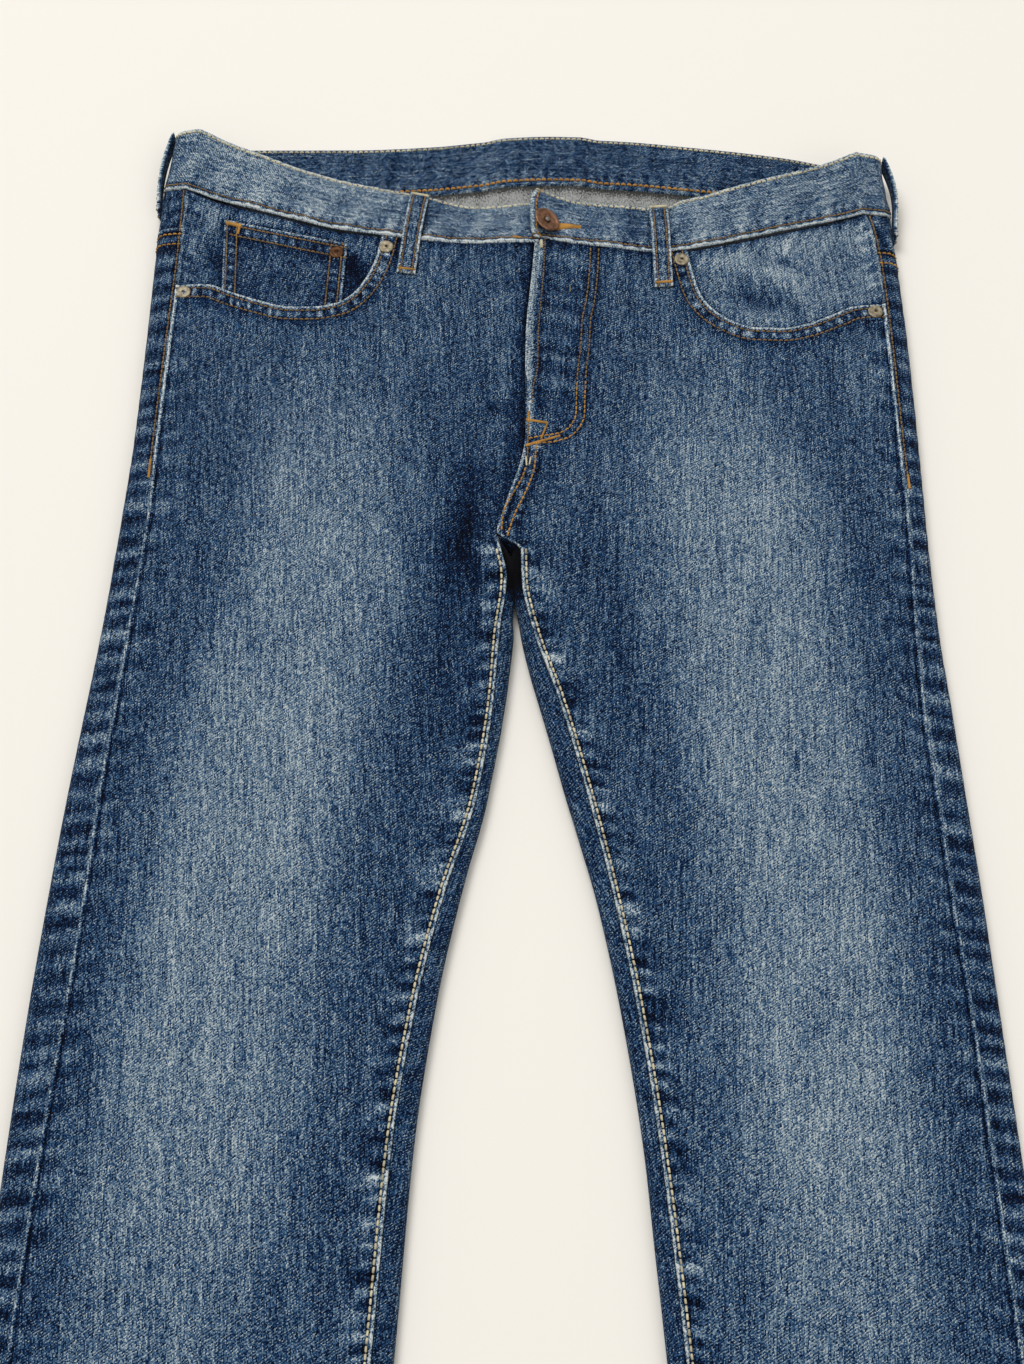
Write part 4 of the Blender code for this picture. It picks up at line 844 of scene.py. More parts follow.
def strap_grid(centres, aside):
    """Grid of a belt loop through centre points, with its width along one direction."""
    centres = np.array(centres, float)
    length = lengths_along(centres)
    fine = np.linspace(0, length[-1], 54)
    middle = np.stack([np.interp(fine, length, centres[:, k]) for k in range(3)], axis=1)
    for _ in range(6):
        middle[1:-1] = (middle[:-2] + 2 * middle[1:-1] + middle[2:]) / 4
    return middle[:, None] + stations_across()[None, :, None] * np.array(aside, float)


def side_loop_grid(half, band):
    """Grid of a side belt loop, standing on edge outside the fold at the end of the waist."""
    outermost = int(np.argmax(half.sign * band[0][:, 0]))
    seam_point, top = band[0][outermost], band[-1][outermost]
    lay = BAND / 2 + SEAM + STRAP / 2
    centres = []
    for t in np.linspace(0, 1, 22):
        base = mix(top, seam_point, t)
        bow = lay + (SIDE_LOOP_BOW[half.sign] - SEAM) * math.sin(math.pi * min(t * 0.9 + 0.05, 1))
        centres.append((base[0] + half.sign * bow, base[1] - 1.0 * (1 - t), max(base[2], 6.2)))
    for t in np.linspace(0, 1, 14)[1:]:
        y = seam_point[1] - LOOP_FOOT * 0.6 * t
        fold_x = half.outer_fold(y) + half.sign * (SEAM + STRAP / 2 + 0.1)
        hold = mix(fold_x, seam_point[0] + half.sign * (lay + 0.6), 1 - ease(t * 4 / 3))
        centres.append((hold, y, mix(max(seam_point[2], 6.2), 8.0, t)))
    return strap_grid(centres, (0, 0, 1))


def back_loop_grid():
    """Grid of the centre back loop, flat under the waistband."""
    x = centre_back(BACK_LOOP_Y)
    top_y, foot_y = back_waist(x) + BAND_WIDTH, back_waist(x) - LOOP_FOOT
    centres = [(x, mix(top_y, foot_y, k / 8), STRAP / 2) for k in range(9)]
    return strap_grid(centres, (1, 0, 0))


def back_pocket_grid(half):
    """Grid of a five-sided patch pocket, flat under the back."""
    centre_x, centre_y = BACK_POCKET_CENTRE[half.sign]
    t = shares(BACK_POCKET_HEIGHT, 3.4)[:, None]
    u = 2 * shares(BACK_POCKET_WIDTH, 3.4)[None] - 1
    width = BACK_POCKET_WIDTH - BACK_POCKET_TAPER * t
    y = centre_y + BACK_POCKET_HEIGHT * (0.5 - t) + BACK_POCKET_POINT * abs(u) * t
    x = centre_x + u * width / 2
    return np.stack([x, y, CLOTH / 2 + 0 * x], axis=-1)


RIPPLE_RANGE = (-800.0, 1400.0)


def ripple(place, seed, pitch):
    """Uneven puckers along a seam, between -1 and 1, about pitch apart."""
    rng = np.random.default_rng(seed)
    low, high = RIPPLE_RANGE
    count = int((high - low) / pitch * 2.6)
    knots = low + np.cumsum(pitch / 2 * (0.6 + 0.8 * rng.random(count)))
    height = np.where(np.arange(count) % 2, 1.0, -1.0) * (0.3 + 0.7 * rng.random(count))
    k = np.clip(np.searchsorted(knots, place) - 1, 0, count - 2)
    t = ease((place - knots[k]) / (knots[k + 1] - knots[k]))
    return mix(height[k], height[k + 1], t)


def rumple(x, y, seed, longest=110.0, shortest=34.0, count=9):
    """Gentle unevenness of laid cloth, between about -1 and 1."""
    rng = np.random.default_rng(seed)
    total = np.zeros(np.broadcast(x, y).shape)
    for _ in range(count):
        wavelength = shortest * (longest / shortest) ** rng.random()
        way = rng.random() * math.tau
        phase = rng.random() * math.tau
        total += np.sin((x * math.cos(way) + y * math.sin(way)) * math.tau / wavelength + phase)
    return total / math.sqrt(count)


def distance_to(line, x, y):
    """Distance of each (x, y) from a polyline, and how far along the polyline it lies."""
    points = np.stack([x.ravel(), y.ravel()], axis=1)
    best = np.full(len(points), 1e9)
    along = np.zeros(len(points))
    start = 0.0
    for a, b in zip(line[:-1], line[1:]):
        run = b - a
        length = float(np.hypot(*run))
        t = np.clip(((points - a) @ run) / length**2, 0, 1)
        away = np.hypot(*(points - a - t[:, None] * run).T)
        nearer = away < best
        best[nearer] = away[nearer]
        along[nearer] = (start + t * length)[nearer]
        start += length
    return best.reshape(x.shape), along.reshape(x.shape)


def beside(line, distance):
    """A polyline at a distance to the left of another."""
    run = np.gradient(line, axis=0)
    run /= np.linalg.norm(run, axis=1)[:, None]
    return line + distance * np.stack([-run[:, 1], run[:, 0]], axis=1)


def smooth_line(points, count=80):
    """A smooth polyline of evenly spaced points through a few given ones."""
    points = np.array(points, float)
    length = lengths_along(points)
    fine = np.linspace(0, length[-1], count)
    return np.stack([curve_through(list(zip(length, axis)))(fine) for axis in points.T], axis=1)


class Skin:
    """What sewing, wear and painted shade add to a wall: lift moves all the cloth, relief its
    outer face.
    """

    def __init__(self, shape, fade):
        self.lift = np.zeros(shape)
        self.relief = np.zeros(shape)
        self.wear = np.zeros(shape)
        self.fade = np.full(shape, fade, float)

    def pucker(self, away, along, seed, pitch, height, reach, wear=0.4, slant=0.45):
        """Puckers beside a seam, which die out at reach."""
        wave = ripple(along + slant * away, seed, pitch)
        near = ease((away + 0.6) / 1.6) * (1 - ease((away - reach * 0.55) / (reach * 0.45)))
        self.relief += height * wave * near
        self.wear += wear * wave * near

    def ridge(self, away, place, width, height, wear=0.0):
        """A soft ridge, or a groove where height is negative, at one distance from a seam."""
        shape = bell(away, width, place)
        self.relief += height * shape
        self.wear += wear * shape

    def groove(self, away, *places):
        """The dents that rows of stitches pull: darker, partly for the dye the cloth kept there
        and partly as painted shade.
        """
        for place in places:
            dent = bell(away, 0.95, place)
            self.relief -= 0.38 * dent
            self.wear -= 0.35 * dent
            self.fade -= 0.22 * bell(away, 1.3, place)

    def blocks(self, away, along, middle, half_width, seed, pitch=6.2, strength=1.0):
        """Bare and unworn blocks where puckered cloth lies between two rows."""
        wave = ripple(along, seed, pitch) * 1.3 * np.exp(-(((away - middle) / half_width) ** 4))
        self.relief += pucker_scale() * 0.8 * strength * wave
        self.wear += strength * (0.9 * wave + 0.1)
        self.fade += 0.08 * strength * wave

    def layers(self, away, reach, height):
        """Folded cloth below the surface, up to reach from an edge."""
        self.relief += height * (1 - ease((away - reach + 0.7) / 1.6))

    def add(self, other, share):
        """Another skin on top of this one, by a share at each point."""
        self.relief += share * other.relief
        self.wear += share * other.wear
        self.fade += share * other.fade

    def rest(self, where):
        """Keeps the outer face level where the cloth rests on the surface."""
        self.relief = np.where(where, np.minimum(self.relief, 0.0), self.relief)


walls = {}
sewing = []  # thread, centres, ways, upright directions, length and thickness of stitches


def quads_of(rows, columns):
    """Corner numbers of the quads of a grid of points."""
    index = np.arange(rows * columns).reshape(rows, columns)
    return np.stack([index[:-1, :-1], index[1:, :-1], index[1:, 1:], index[:-1, 1:]], axis=-1)


def linked(name, data):
    """A new object with its mesh, light or camera, in the scene."""
    thing = bpy.data.objects.new(name, data)
    bpy.context.scene.collection.objects.link(thing)
    return thing


class Wall:
    """A sheet of cloth with two faces, from a grid of points through its middle."""

    def __init__(self, name, grid, flip, thickness, grain, skin, inner_look=None, hole=None):
        self.name = name
        down, across = np.gradient(grid, axis=0), np.gradient(grid, axis=1)
        normal = np.cross(down, across) * flip
        normal /= np.linalg.norm(normal, axis=2)[..., None]
        middle = grid + normal * skin.lift[..., None]
        self.flip = flip
        self.arcs = border_arcs(grid)
        edge = np.minimum.reduce(self.arcs)
        rounding = np.clip(edge / (thickness * 0.5), 0, 1)
        body = 0.2 + 0.8 * np.sqrt(1 - (1 - rounding) ** 2)
        self.normal = normal
        self.outer = middle + normal * ((thickness / 2 + skin.relief) * body)[..., None]
        self.inner = middle - normal * (thickness / 2 * body)[..., None]
        self.grain = grain
        self.looks = [(skin.fade, skin.wear), inner_look or (skin.fade, skin.wear * 0)]
        self.hole = hole
        self.tree = None
        walls[name] = self

    def build(self, materials):
        """The wall as a closed mesh object in metres."""
        quads = quads_of(*self.outer.shape[:2])
        count = self.outer[..., 0].size
        faces = quads.reshape(-1, 4) if self.hole is None else quads[~self.hole]
        if self.flip < 0:
            faces = faces[:, ::-1]
        starts, ends = faces.ravel(), np.roll(faces, -1, axis=1).ravel()
        open_edge = ~np.isin(starts * count + ends, ends * count + starts)
        a, b = starts[open_edge], ends[open_edge]
        rim = np.stack([b, a, a + count, b + count], axis=1)
        every = np.concatenate([faces, rim, faces[:, ::-1] + count])
        points = np.concatenate([self.outer.reshape(-1, 3), self.inner.reshape(-1, 3)]) * MM
        mesh = bpy.data.meshes.new(self.name)
        mesh.from_pydata(points.tolist(), [], every.tolist())
        grain = np.tile(self.grain.reshape(-1, 2), (2, 1)) * MM
        corner = np.empty(len(mesh.loops), int)
        mesh.loops.foreach_get("vertex_index", corner)
        layer = mesh.uv_layers.new(name="cloth")
        layer.data.foreach_set("uv", grain[corner].astype(np.float32).ravel())
        for k, name in enumerate(("fade", "wear")):
            values = np.concatenate([look[k].ravel() for look in self.looks])
            attribute = mesh.attributes.new(name, "FLOAT", "POINT")
            attribute.data.foreach_set("value", values.astype(np.float32))
        for material in materials:
            mesh.materials.append(material)
        slots = np.zeros(len(every), int)
        slots[len(faces) + len(rim) :] = len(materials) - 1
        mesh.polygons.foreach_set("material_index", slots)
        mesh.shade_smooth()
        mesh.validate()
        return linked(self.name, mesh)

    def drop(self, line, above=80.0):
        """Points of the outer face straight below a plan line, with their upright directions."""
        if self.tree is None:
            quads = quads_of(*self.outer.shape[:2]).reshape(-1, 4)
            points = self.outer.reshape(-1, 3)
            self.tree = BVHTree.FromPolygons(points.tolist(), quads.tolist())
        way = Vector((0, 0, -1))
        points, normals = [], []
        for x, y in line:
            place, normal, _, _ = self.tree.ray_cast(Vector((x, y, above)), way)
            if place is None:
                continue
            if normal.dot(way) > 0:
                normal.negate()
            points.append(tuple(place))
            normals.append(tuple(normal))
        return np.array(points).reshape(-1, 3), np.array(normals).reshape(-1, 3)

    def along(self, border, distance, face="outer"):
        """The line on a face at a distance from one border of the grid."""
        arcs = self.arcs[border]
        face_points = self.outer if face == "outer" else self.inner
        direction = self.normal if face == "outer" else -self.normal
        if border in (FIRST_ROW, LAST_ROW):
            arcs = arcs.T
            face_points = face_points.transpose(1, 0, 2)
            direction = direction.transpose(1, 0, 2)
        points, normals = [], []
        for row, values, ups in zip(arcs, face_points, direction):
            order = np.argsort(row)
            at = np.interp(distance, row[order], order.astype(float))
            k = min(int(at), len(row) - 2)
            points.append(mix(values[k], values[k + 1], at - k))
            normals.append(mix(ups[k], ups[k + 1], at - k))
        return np.array(points), np.array(normals)


FIRST_COLUMN, LAST_COLUMN, FIRST_ROW, LAST_ROW = range(4)


def border_arcs(grid):
    """Distance of each grid point from each of the four borders, along the grid's lines."""
    across = np.linalg.norm(np.diff(grid, axis=1), axis=2)
    across = np.concatenate([np.zeros((len(grid), 1)), np.cumsum(across, axis=1)], axis=1)
    down = np.linalg.norm(np.diff(grid, axis=0), axis=2)
    down = np.concatenate([np.zeros((1, grid.shape[1])), np.cumsum(down, axis=0)], axis=0)
    return [across, across[:, -1:] - across, down, down[-1:] - down]


def sew(thread, line, pitch=3.3, share=0.74, where=None, thick=1.0):
    """A row of stitches along (points, normals)."""
    points, normals = line
    if where is not None:
        keep = where(points)
        points, normals = points[keep], normals[keep]
    if len(points) < 2:
        return
    length = lengths_along(points)
    count = max(1, int(length[-1] / pitch))
    centres = (np.arange(count) + 0.5) * length[-1] / count
    half = pitch * share / 2

    def at(places, values):
        return np.stack([np.interp(places, length, values[:, k]) for k in range(3)], axis=1)

    ways = at(centres + half, points) - at(centres - half, points)
    sewing.append((thread, at(centres, points), ways, at(centres, normals), pitch * share, thick))


def tack(thread, ends, normals, width, spacing=TACK_SPACING):
    """A bar tack: close stitches across a short line."""
    ends, normals = np.array(ends, float), np.array(normals, float)
    length = float(np.linalg.norm(ends[1] - ends[0]))
    count = max(3, int(length / spacing))
    share = ((np.arange(count) + 0.5) / count)[:, None]
    centres, ups = mix(ends[0], ends[1], share), mix(normals[0], normals[1], share)
    way = np.cross(ups, ends[1] - ends[0])
    lean = np.where(np.arange(count) % 2, 0.12, -0.12)[:, None] * (ends[1] - ends[0]) / length
    way = way / np.linalg.norm(way, axis=1)[:, None] + lean
    sewing.append((thread, centres + ups * 0.15, way, ups, width, 1.0))


def linear(code):
    """A colour given as sRGB hex, in the linear values that shaders use."""
    values = [int(code[k : k + 2], 16) / 255 for k in (1, 3, 5)]
    return [v / 12.92 if v <= 0.04045 else ((v + 0.055) / 1.055) ** 2.4 for v in values]


def colour_property(name, description, code):
    given = {"name": name, "description": description, "default": linear(code)}
    return FloatVectorProperty(subtype="COLOR", size=3, min=0, max=1, **given)


def length_property(name, description, default):
    given = {"name": name, "description": description, "default": default}
    return FloatProperty(unit="LENGTH", min=0, **given)


class JeansCloth(bpy.types.PropertyGroup):
    """Sizes and colours of the cloth."""

    pucker_height: length_property(
        "Pucker height", "How high the puckers beside the seams stand", 0.00062
    )
    crease_depth: FloatProperty(
        name="Crease depth", description="Scale of the creases' height", default=1.0, min=0
    )
    shut: colour_property("Shut folds", "Deep in the folds, where no light gets in", "#010104")
    deep: colour_property("Unworn indigo", "Colour of the darkest yarns", "#031434")
    washed: colour_property("Washed indigo", "Colour of the washed cloth", "#244c76")
    faded: colour_property("Faded indigo", "Colour of the faded thighs", "#5f788c")
    pale: colour_property("Pale yarn", "Colour of the palest yarns of the thighs", "#9caaaf")
    bare: colour_property("Bare yarn", "Colour of the abraded edges", "#d3d9d8")
    reverse: colour_property("Reverse", "Colour of the cloth's back", "#9b9d9b")


class JeansSewing(bpy.types.PropertyGroup):
    """Sizes and colours of the threads."""

    thread_radius: length_property("Thread radius", "Radius of a thread", 0.00051)
    arch: length_property("Arch", "Height of a stitch's middle", 0.00042)
    seed: IntProperty(name="Seed", description="Seed of the stitches' unevenness", default=7)
    cream: colour_property("Cream thread", "Inseams and the waistband's top edge", "#d9cfae")
    tan: colour_property("Tan thread", "Pockets, fly and loops", "#876c45")
    orange: colour_property("Orange thread", "Fly foot, crotch, yokes and tacks", "#bb8a40")


class JeansSetting(bpy.types.PropertyGroup):
    """Colours of the hardware and the floor."""

    copper: colour_property("Copper", "The waist button", "#a67c62")
    dark_copper: colour_property("Dark copper", "The coin pocket's rivet", "#543a2a")
    brass: colour_property("Worn brass", "The pocket rivets", "#aaa089")
    steel: colour_property("Worn steel", "The dome in the middle of the button", "#b9b6ae")
    floor: colour_property("Floor", "The surface under the garment", "#eeeae2")


MATH, NOISE, CELL_NOISE = "ShaderNodeMath", "ShaderNodeTexNoise", "ShaderNodeTexWhiteNoise"
RAMP, ATTRIBUTE, COMBINE = "ShaderNodeValToRGB", "ShaderNodeAttribute", "ShaderNodeCombineXYZ"


def node(tree, kind, *inputs, **settings):
    """Adds a node with its settings, and values or links for its inputs in order or by name.

    A node given as an input is linked by its first output. A ramp's stops are (place, colour).
    """
    added = tree.nodes.new(kind)
    for k, (place, colour) in enumerate(settings.pop("stops", ())):
        stops = added.color_ramp.elements
        stop = stops[k] if k < 2 else stops.new(place)
        stop.position, stop.color = place, (*colour, 1)
    for name, value in settings.items():
        setattr(added, name, value)
    named = inputs[0] if inputs and isinstance(inputs[0], dict) else dict(enumerate(inputs))
    for name, value in named.items():
        if isinstance(value, bpy.types.Node):
            value = value.outputs[0]
        if isinstance(value, bpy.types.NodeSocket):
            tree.links.new(value, added.inputs[name])
        else:
            added.inputs[name].default_value = value
    return added


def new_material(name):
    """A material with an empty tree, and the tree."""
    material = bpy.data.materials.new(name)
    material.use_nodes = True
    material.node_tree.nodes.clear()
    return material, material.node_tree


def surface(tree, colour, height, strength, distance, roughness, **sockets):
    """Ends a material: a bump of a pattern of heights, the shader and the output."""
    bump = {"Strength": strength, "Distance": distance, "Height": height}
    look = {
        "Base Color": colour,
        "Roughness": roughness,
        "Normal": node(tree, "ShaderNodeBump", bump),
    }
    look.update({name.replace("_", " "): value for name, value in sockets.items()})
    shader = node(tree, "ShaderNodeBsdfPrincipled", look)
    node(tree, "ShaderNodeOutputMaterial", shader)


def darkened(colour, share, low, high):
    """Stops from a darker share of a colour to the colour itself."""
    return ((low, [v * share for v in colour]), (high, colour))


def cloth_millimetres(tree):
    """The cloth's own grain coordinates in millimetres: weft along X, warp along Y."""
    grain = node(tree, "ShaderNodeUVMap", uv_map="cloth")
    scaled = {0: grain, "Scale": 1000.0}
    return node(tree, "ShaderNodeVectorMath", scaled, operation="SCALE")


def streaks(tree, grain, across, along, detail=2.0, place=0.0):
    """Noise drawn out along the warp: across and along are its sizes in millimetres."""
    laid = {
        "Vector": grain,
        "Location": (place, place * 1.7, 0),
        "Scale": (across, along, 1.0),
    }
    mapped = node(tree, "ShaderNodeMapping", laid, vector_type="TEXTURE")
    drawn = {"Vector": mapped, "Scale": 1.0, "Detail": detail, "Roughness": 0.6}
    return node(tree, NOISE, drawn, noise_dimensions="2D")


WARP_PITCH = 0.6
FLOAT_REPEAT = 1.65
PICKS = 3.0
TONE_FOOT = -0.5  # tone of the ramp's dark end
TONE_STOPS = (
    ("shut", TONE_FOOT), ("deep", 0), ("washed", 0.25), ("faded", 0.46), ("pale", 0.71),
    ("bare", 1),
)


def denim_material(look):
    """Ring-spun indigo denim, a 3/1 right-hand twill that was stone washed after sewing."""
    material, tree = new_material("indigo_denim_stone_washed_twill")
    grain = cloth_millimetres(tree)
    # Each warp yarn floats over three picks and dips under the fourth, one pick further on
    # than its neighbour, so the white weft dots climb to the right. A yarn is 0.6 mm wide
    # here, about half as wide again as the real one, so that it shows at this distance.
    sway = streaks(tree, grain, 5.0, 9.0, 1.0, 3.0)
    weft, warp, _ = node(tree, "ShaderNodeSeparateXYZ", grain).outputs
    across = node(tree, MATH, weft, 1 / WARP_PITCH, sway, operation="MULTIPLY_ADD")
    yarn = node(tree, MATH, across, operation="FLOOR")
    climb = node(tree, MATH, yarn, -0.25, operation="MULTIPLY")
    along = node(tree, MATH, warp, 1 / FLOAT_REPEAT, climb, operation="MULTIPLY_ADD")
    along = node(tree, MATH, sway, 1.5, along, operation="MULTIPLY_ADD")
    cell = node(tree, COMBINE, yarn, node(tree, MATH, along, operation="FLOOR"))
    float_tone = node(tree, CELL_NOISE, {"Vector": cell}, noise_dimensions="2D")
    picks = node(tree, MATH, along, PICKS, operation="MULTIPLY")
    cell = node(tree, COMBINE, yarn, node(tree, MATH, picks, operation="FLOOR"), 7.0)
    fleck = node(tree, CELL_NOISE, {"Vector": cell}, noise_dimensions="3D")
    step = node(tree, MATH, along, operation="FRACT")
    weft_dot = node(tree, MATH, step, 0.72, operation="GREATER_THAN")
    gap = node(tree, MATH, across, 0.5, operation="PINGPONG")
    # Lint and broken fibres, uneven warp yarns, slubs that stay pale, and washed bands.
    fibres = streaks(tree, grain, 0.7, 0.7, 1.0, 31.0)
    tufts = streaks(tree, grain, 1.5, 2.0, 1.0, 57.0)
    yarns = streaks(tree, grain, 1.0, 15.0, 2.0, 7.0)
    slubs = streaks(tree, grain, 1.9, 60.0, 2.0, 19.0)
    bands = streaks(tree, grain, 9.0, 80.0, 2.0, 43.0)
    clouds = streaks(tree, grain, 26.0, 34.0, 3.0, 71.0)

    # The tone attribute is washed-out tone plus painted shade of steps, grooves and folds; the
    # wear attribute is abrasion plus painted shade in grooves.
    fade = node(tree, ATTRIBUTE, attribute_name="fade").outputs["Fac"]
    wear = node(tree, ATTRIBUTE, attribute_name="wear").outputs["Fac"]
    # Abrasion catches on the raised tufts first, so worn edges look broken, not painted.
    worn = node(tree, MATH, tufts, -0.06, operation="ADD")
    tone = node(tree, MATH, wear, worn, fade, operation="MULTIPLY_ADD")
    for pattern, middle, weight in (
        (float_tone, 0.54, 0.36),
        (fleck, 0.54, 0.62),
        (weft_dot, 0.28, 0.3),
        (gap, 0.25, 0.5),
        (fibres, 0.5, 0.16),
        (tufts, 0.5, 0.08),
        (yarns, 0.5, 0.6),
        (slubs, 0.5, 0.42),
        (bands, 0.5, 0.2),
        (clouds, 0.5, 0.08),
    ):
        centred = node(tree, MATH, pattern, middle, operation="SUBTRACT")
        tone = node(tree, MATH, centred, weight, tone, operation="MULTIPLY_ADD")
    span = 1 - TONE_FOOT
    tone = node(tree, MATH, tone, 1 / span, -TONE_FOOT / span, operation="MULTIPLY_ADD")
    stops = [((share - TONE_FOOT) / span, getattr(look, name)) for name, share in TONE_STOPS]

    weave = node(tree, MATH, gap, 1.2, fibres, operation="MULTIPLY_ADD")
    weave = node(tree, MATH, weft_dot, -0.35, weave, operation="MULTIPLY_ADD")
    weave = node(tree, MATH, yarns, 0.8, weave, operation="MULTIPLY_ADD")
    # Worn indigo cotton is matt, with a faint dusty sheen from loose fibre ends.
    sheen = {"Specular_IOR_Level": 0.06, "Sheen_Weight": 0.02, "Sheen_Roughness": 0.6}
    surface(tree, node(tree, RAMP, tone, stops=stops), weave, 0.8, 0.0003, 0.92, **sheen)
    return material


def reverse_material(look):
    """The back of the denim, where the undyed weft lies on top and the indigo warp peeps out."""
    material, tree = new_material("denim_reverse_undyed_weft")
    grain = cloth_millimetres(tree)
    dashes = streaks(tree, grain, 0.7, 1.8, 1.0, 5.0)
    fibres = streaks(tree, grain, 1.1, 0.6, 1.0, 13.0)
    tone = node(tree, MATH, fibres, 0.6, dashes, operation="MULTIPLY_ADD")
    # The wear attribute adds painted shade here: on the yokes it darkens the reverse under the
    # waistband and in slanting bands.
    shade = node(tree, ATTRIBUTE, attribute_name="wear").outputs["Fac"]
    tone = node(tree, MATH, tone, shade, operation="ADD")
    colour = node(tree, RAMP, tone, stops=darkened(look.reverse, 0.1, 0.46, 0.84))
    surface(tree, colour, tone, 0.5, 0.0002, 0.95, Specular_IOR_Level=0.2)
    return material


def thread_material(name, colour):
    """Spun polyester-cotton topstitching thread, softened and dusted with indigo in the wash."""
    material, tree = new_material(name)
    place = node(tree, "ShaderNodeTexCoord").outputs["Object"]
    fuzz = node(tree, NOISE, {"Vector": place, "Scale": 900.0, "Detail": 2.0})
    dye = node(tree, NOISE, {"Vector": place, "Scale": 140.0, "Detail": 2.0})
    dyed = node(tree, RAMP, dye, stops=darkened(colour, 0.5, 0.3, 0.62))
    surface(tree, dyed, fuzz, 0.5, 0.0001, 0.75, Specular_IOR_Level=0.3)
    return material


def metal_material(name, colour, roughness):
    """Stamped fitting with an antique plating that is darkened in its hollows."""
    material, tree = new_material(name)
    place = node(tree, "ShaderNodeTexCoord").outputs["Object"]
    dulled = {"Vector": place, "Scale": 420.0, "Detail": 4.0, "Roughness": 0.65}
    dents = node(tree, NOISE, {"Vector": place, "Scale": 900.0, "Detail": 2.0})
    stops = darkened(colour, 0.35, 0.34, 0.62)
    plated = node(tree, RAMP, node(tree, NOISE, dulled), stops=stops)
    surface(tree, plated, dents, 0.35, 0.00012, roughness, Metallic=1.0)
    return material


def floor_material(colour):
    """Smooth matt board, a plain pale surface."""
    material, tree = new_material("matt_pale_board")
    place = node(tree, "ShaderNodeTexCoord").outputs["Object"]
    tooth = node(tree, NOISE, {"Vector": place, "Scale": 240.0, "Detail": 3.0})
    surface(tree, (*colour, 1), tooth, 0.12, 0.0003, 0.95, Specular_IOR_Level=0.1)
    return material


made = {}


def material_of(name, make, *given):
    """A material that is made once and then shared."""
    if name not in made:
        made[name] = make(*given)
    return made[name]


def cloth_faces():
    """The denim's face and its back."""
    look = bpy.context.scene.jeans_cloth
    return [
        material_of("denim", denim_material, look),
        material_of("reverse", reverse_material, look),
    ]


def settle(thing, node_name):
    """Gives a piece its body and hides the solid it stands for."""
    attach(thing, BODY)
    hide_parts(node_name)


def settle_cloth(wall, node_name, *rests_on, cut=None, faces=2):
    """Builds a wall in the place of its solid, with one or both of the cloth's faces."""
    thing = wall.build(cloth_faces()[:faces])
    settle(thing, node_name)


def pucker_scale():
    """Height of a full pucker in millimetres."""
    return bpy.context.scene.jeans_cloth.pucker_height * 1000


def inside_look(skin):
    """Tone and wear of the cloth's back where nothing shows it."""
    return np.full(skin.fade.shape, LEG_TONE), np.zeros(skin.fade.shape)


def leg_fade(half, x, y):
    """Tone of the cloth on a leg's front: the thigh is washed out and the sides stay dark."""
    centre, half_width, strength = (curve(y) for curve in half.pale)
    aside = half.sign * (x - centre) / half_width
    aside = np.where(aside > 0, aside * 1.28, -aside)
    washed = strength * (1 - ease(aside - 0.35))
    hip = 0.035 * ease((y - 290) / 90)
    crotch = np.exp(-(((x + 24) / 28) ** 2) - (((y - 240) / 75) ** 2))
    patches = rumple(x, y * 0.7, 5 + half.sign, 90.0, 22.0, 12)
    return LEG_TONE + THIGH_WASH * washed + hip - 0.13 * crotch + 0.014 * patches


def grain_of(grid, lean):
    """Weft and warp coordinates of plan points, with the warp leaning by an angle."""
    x, y = grid[..., 0], grid[..., 1]
    cos, sin = math.cos(lean), math.sin(lean)
    return np.stack([x * cos + y * sin, y * cos - x * sin], axis=-1)


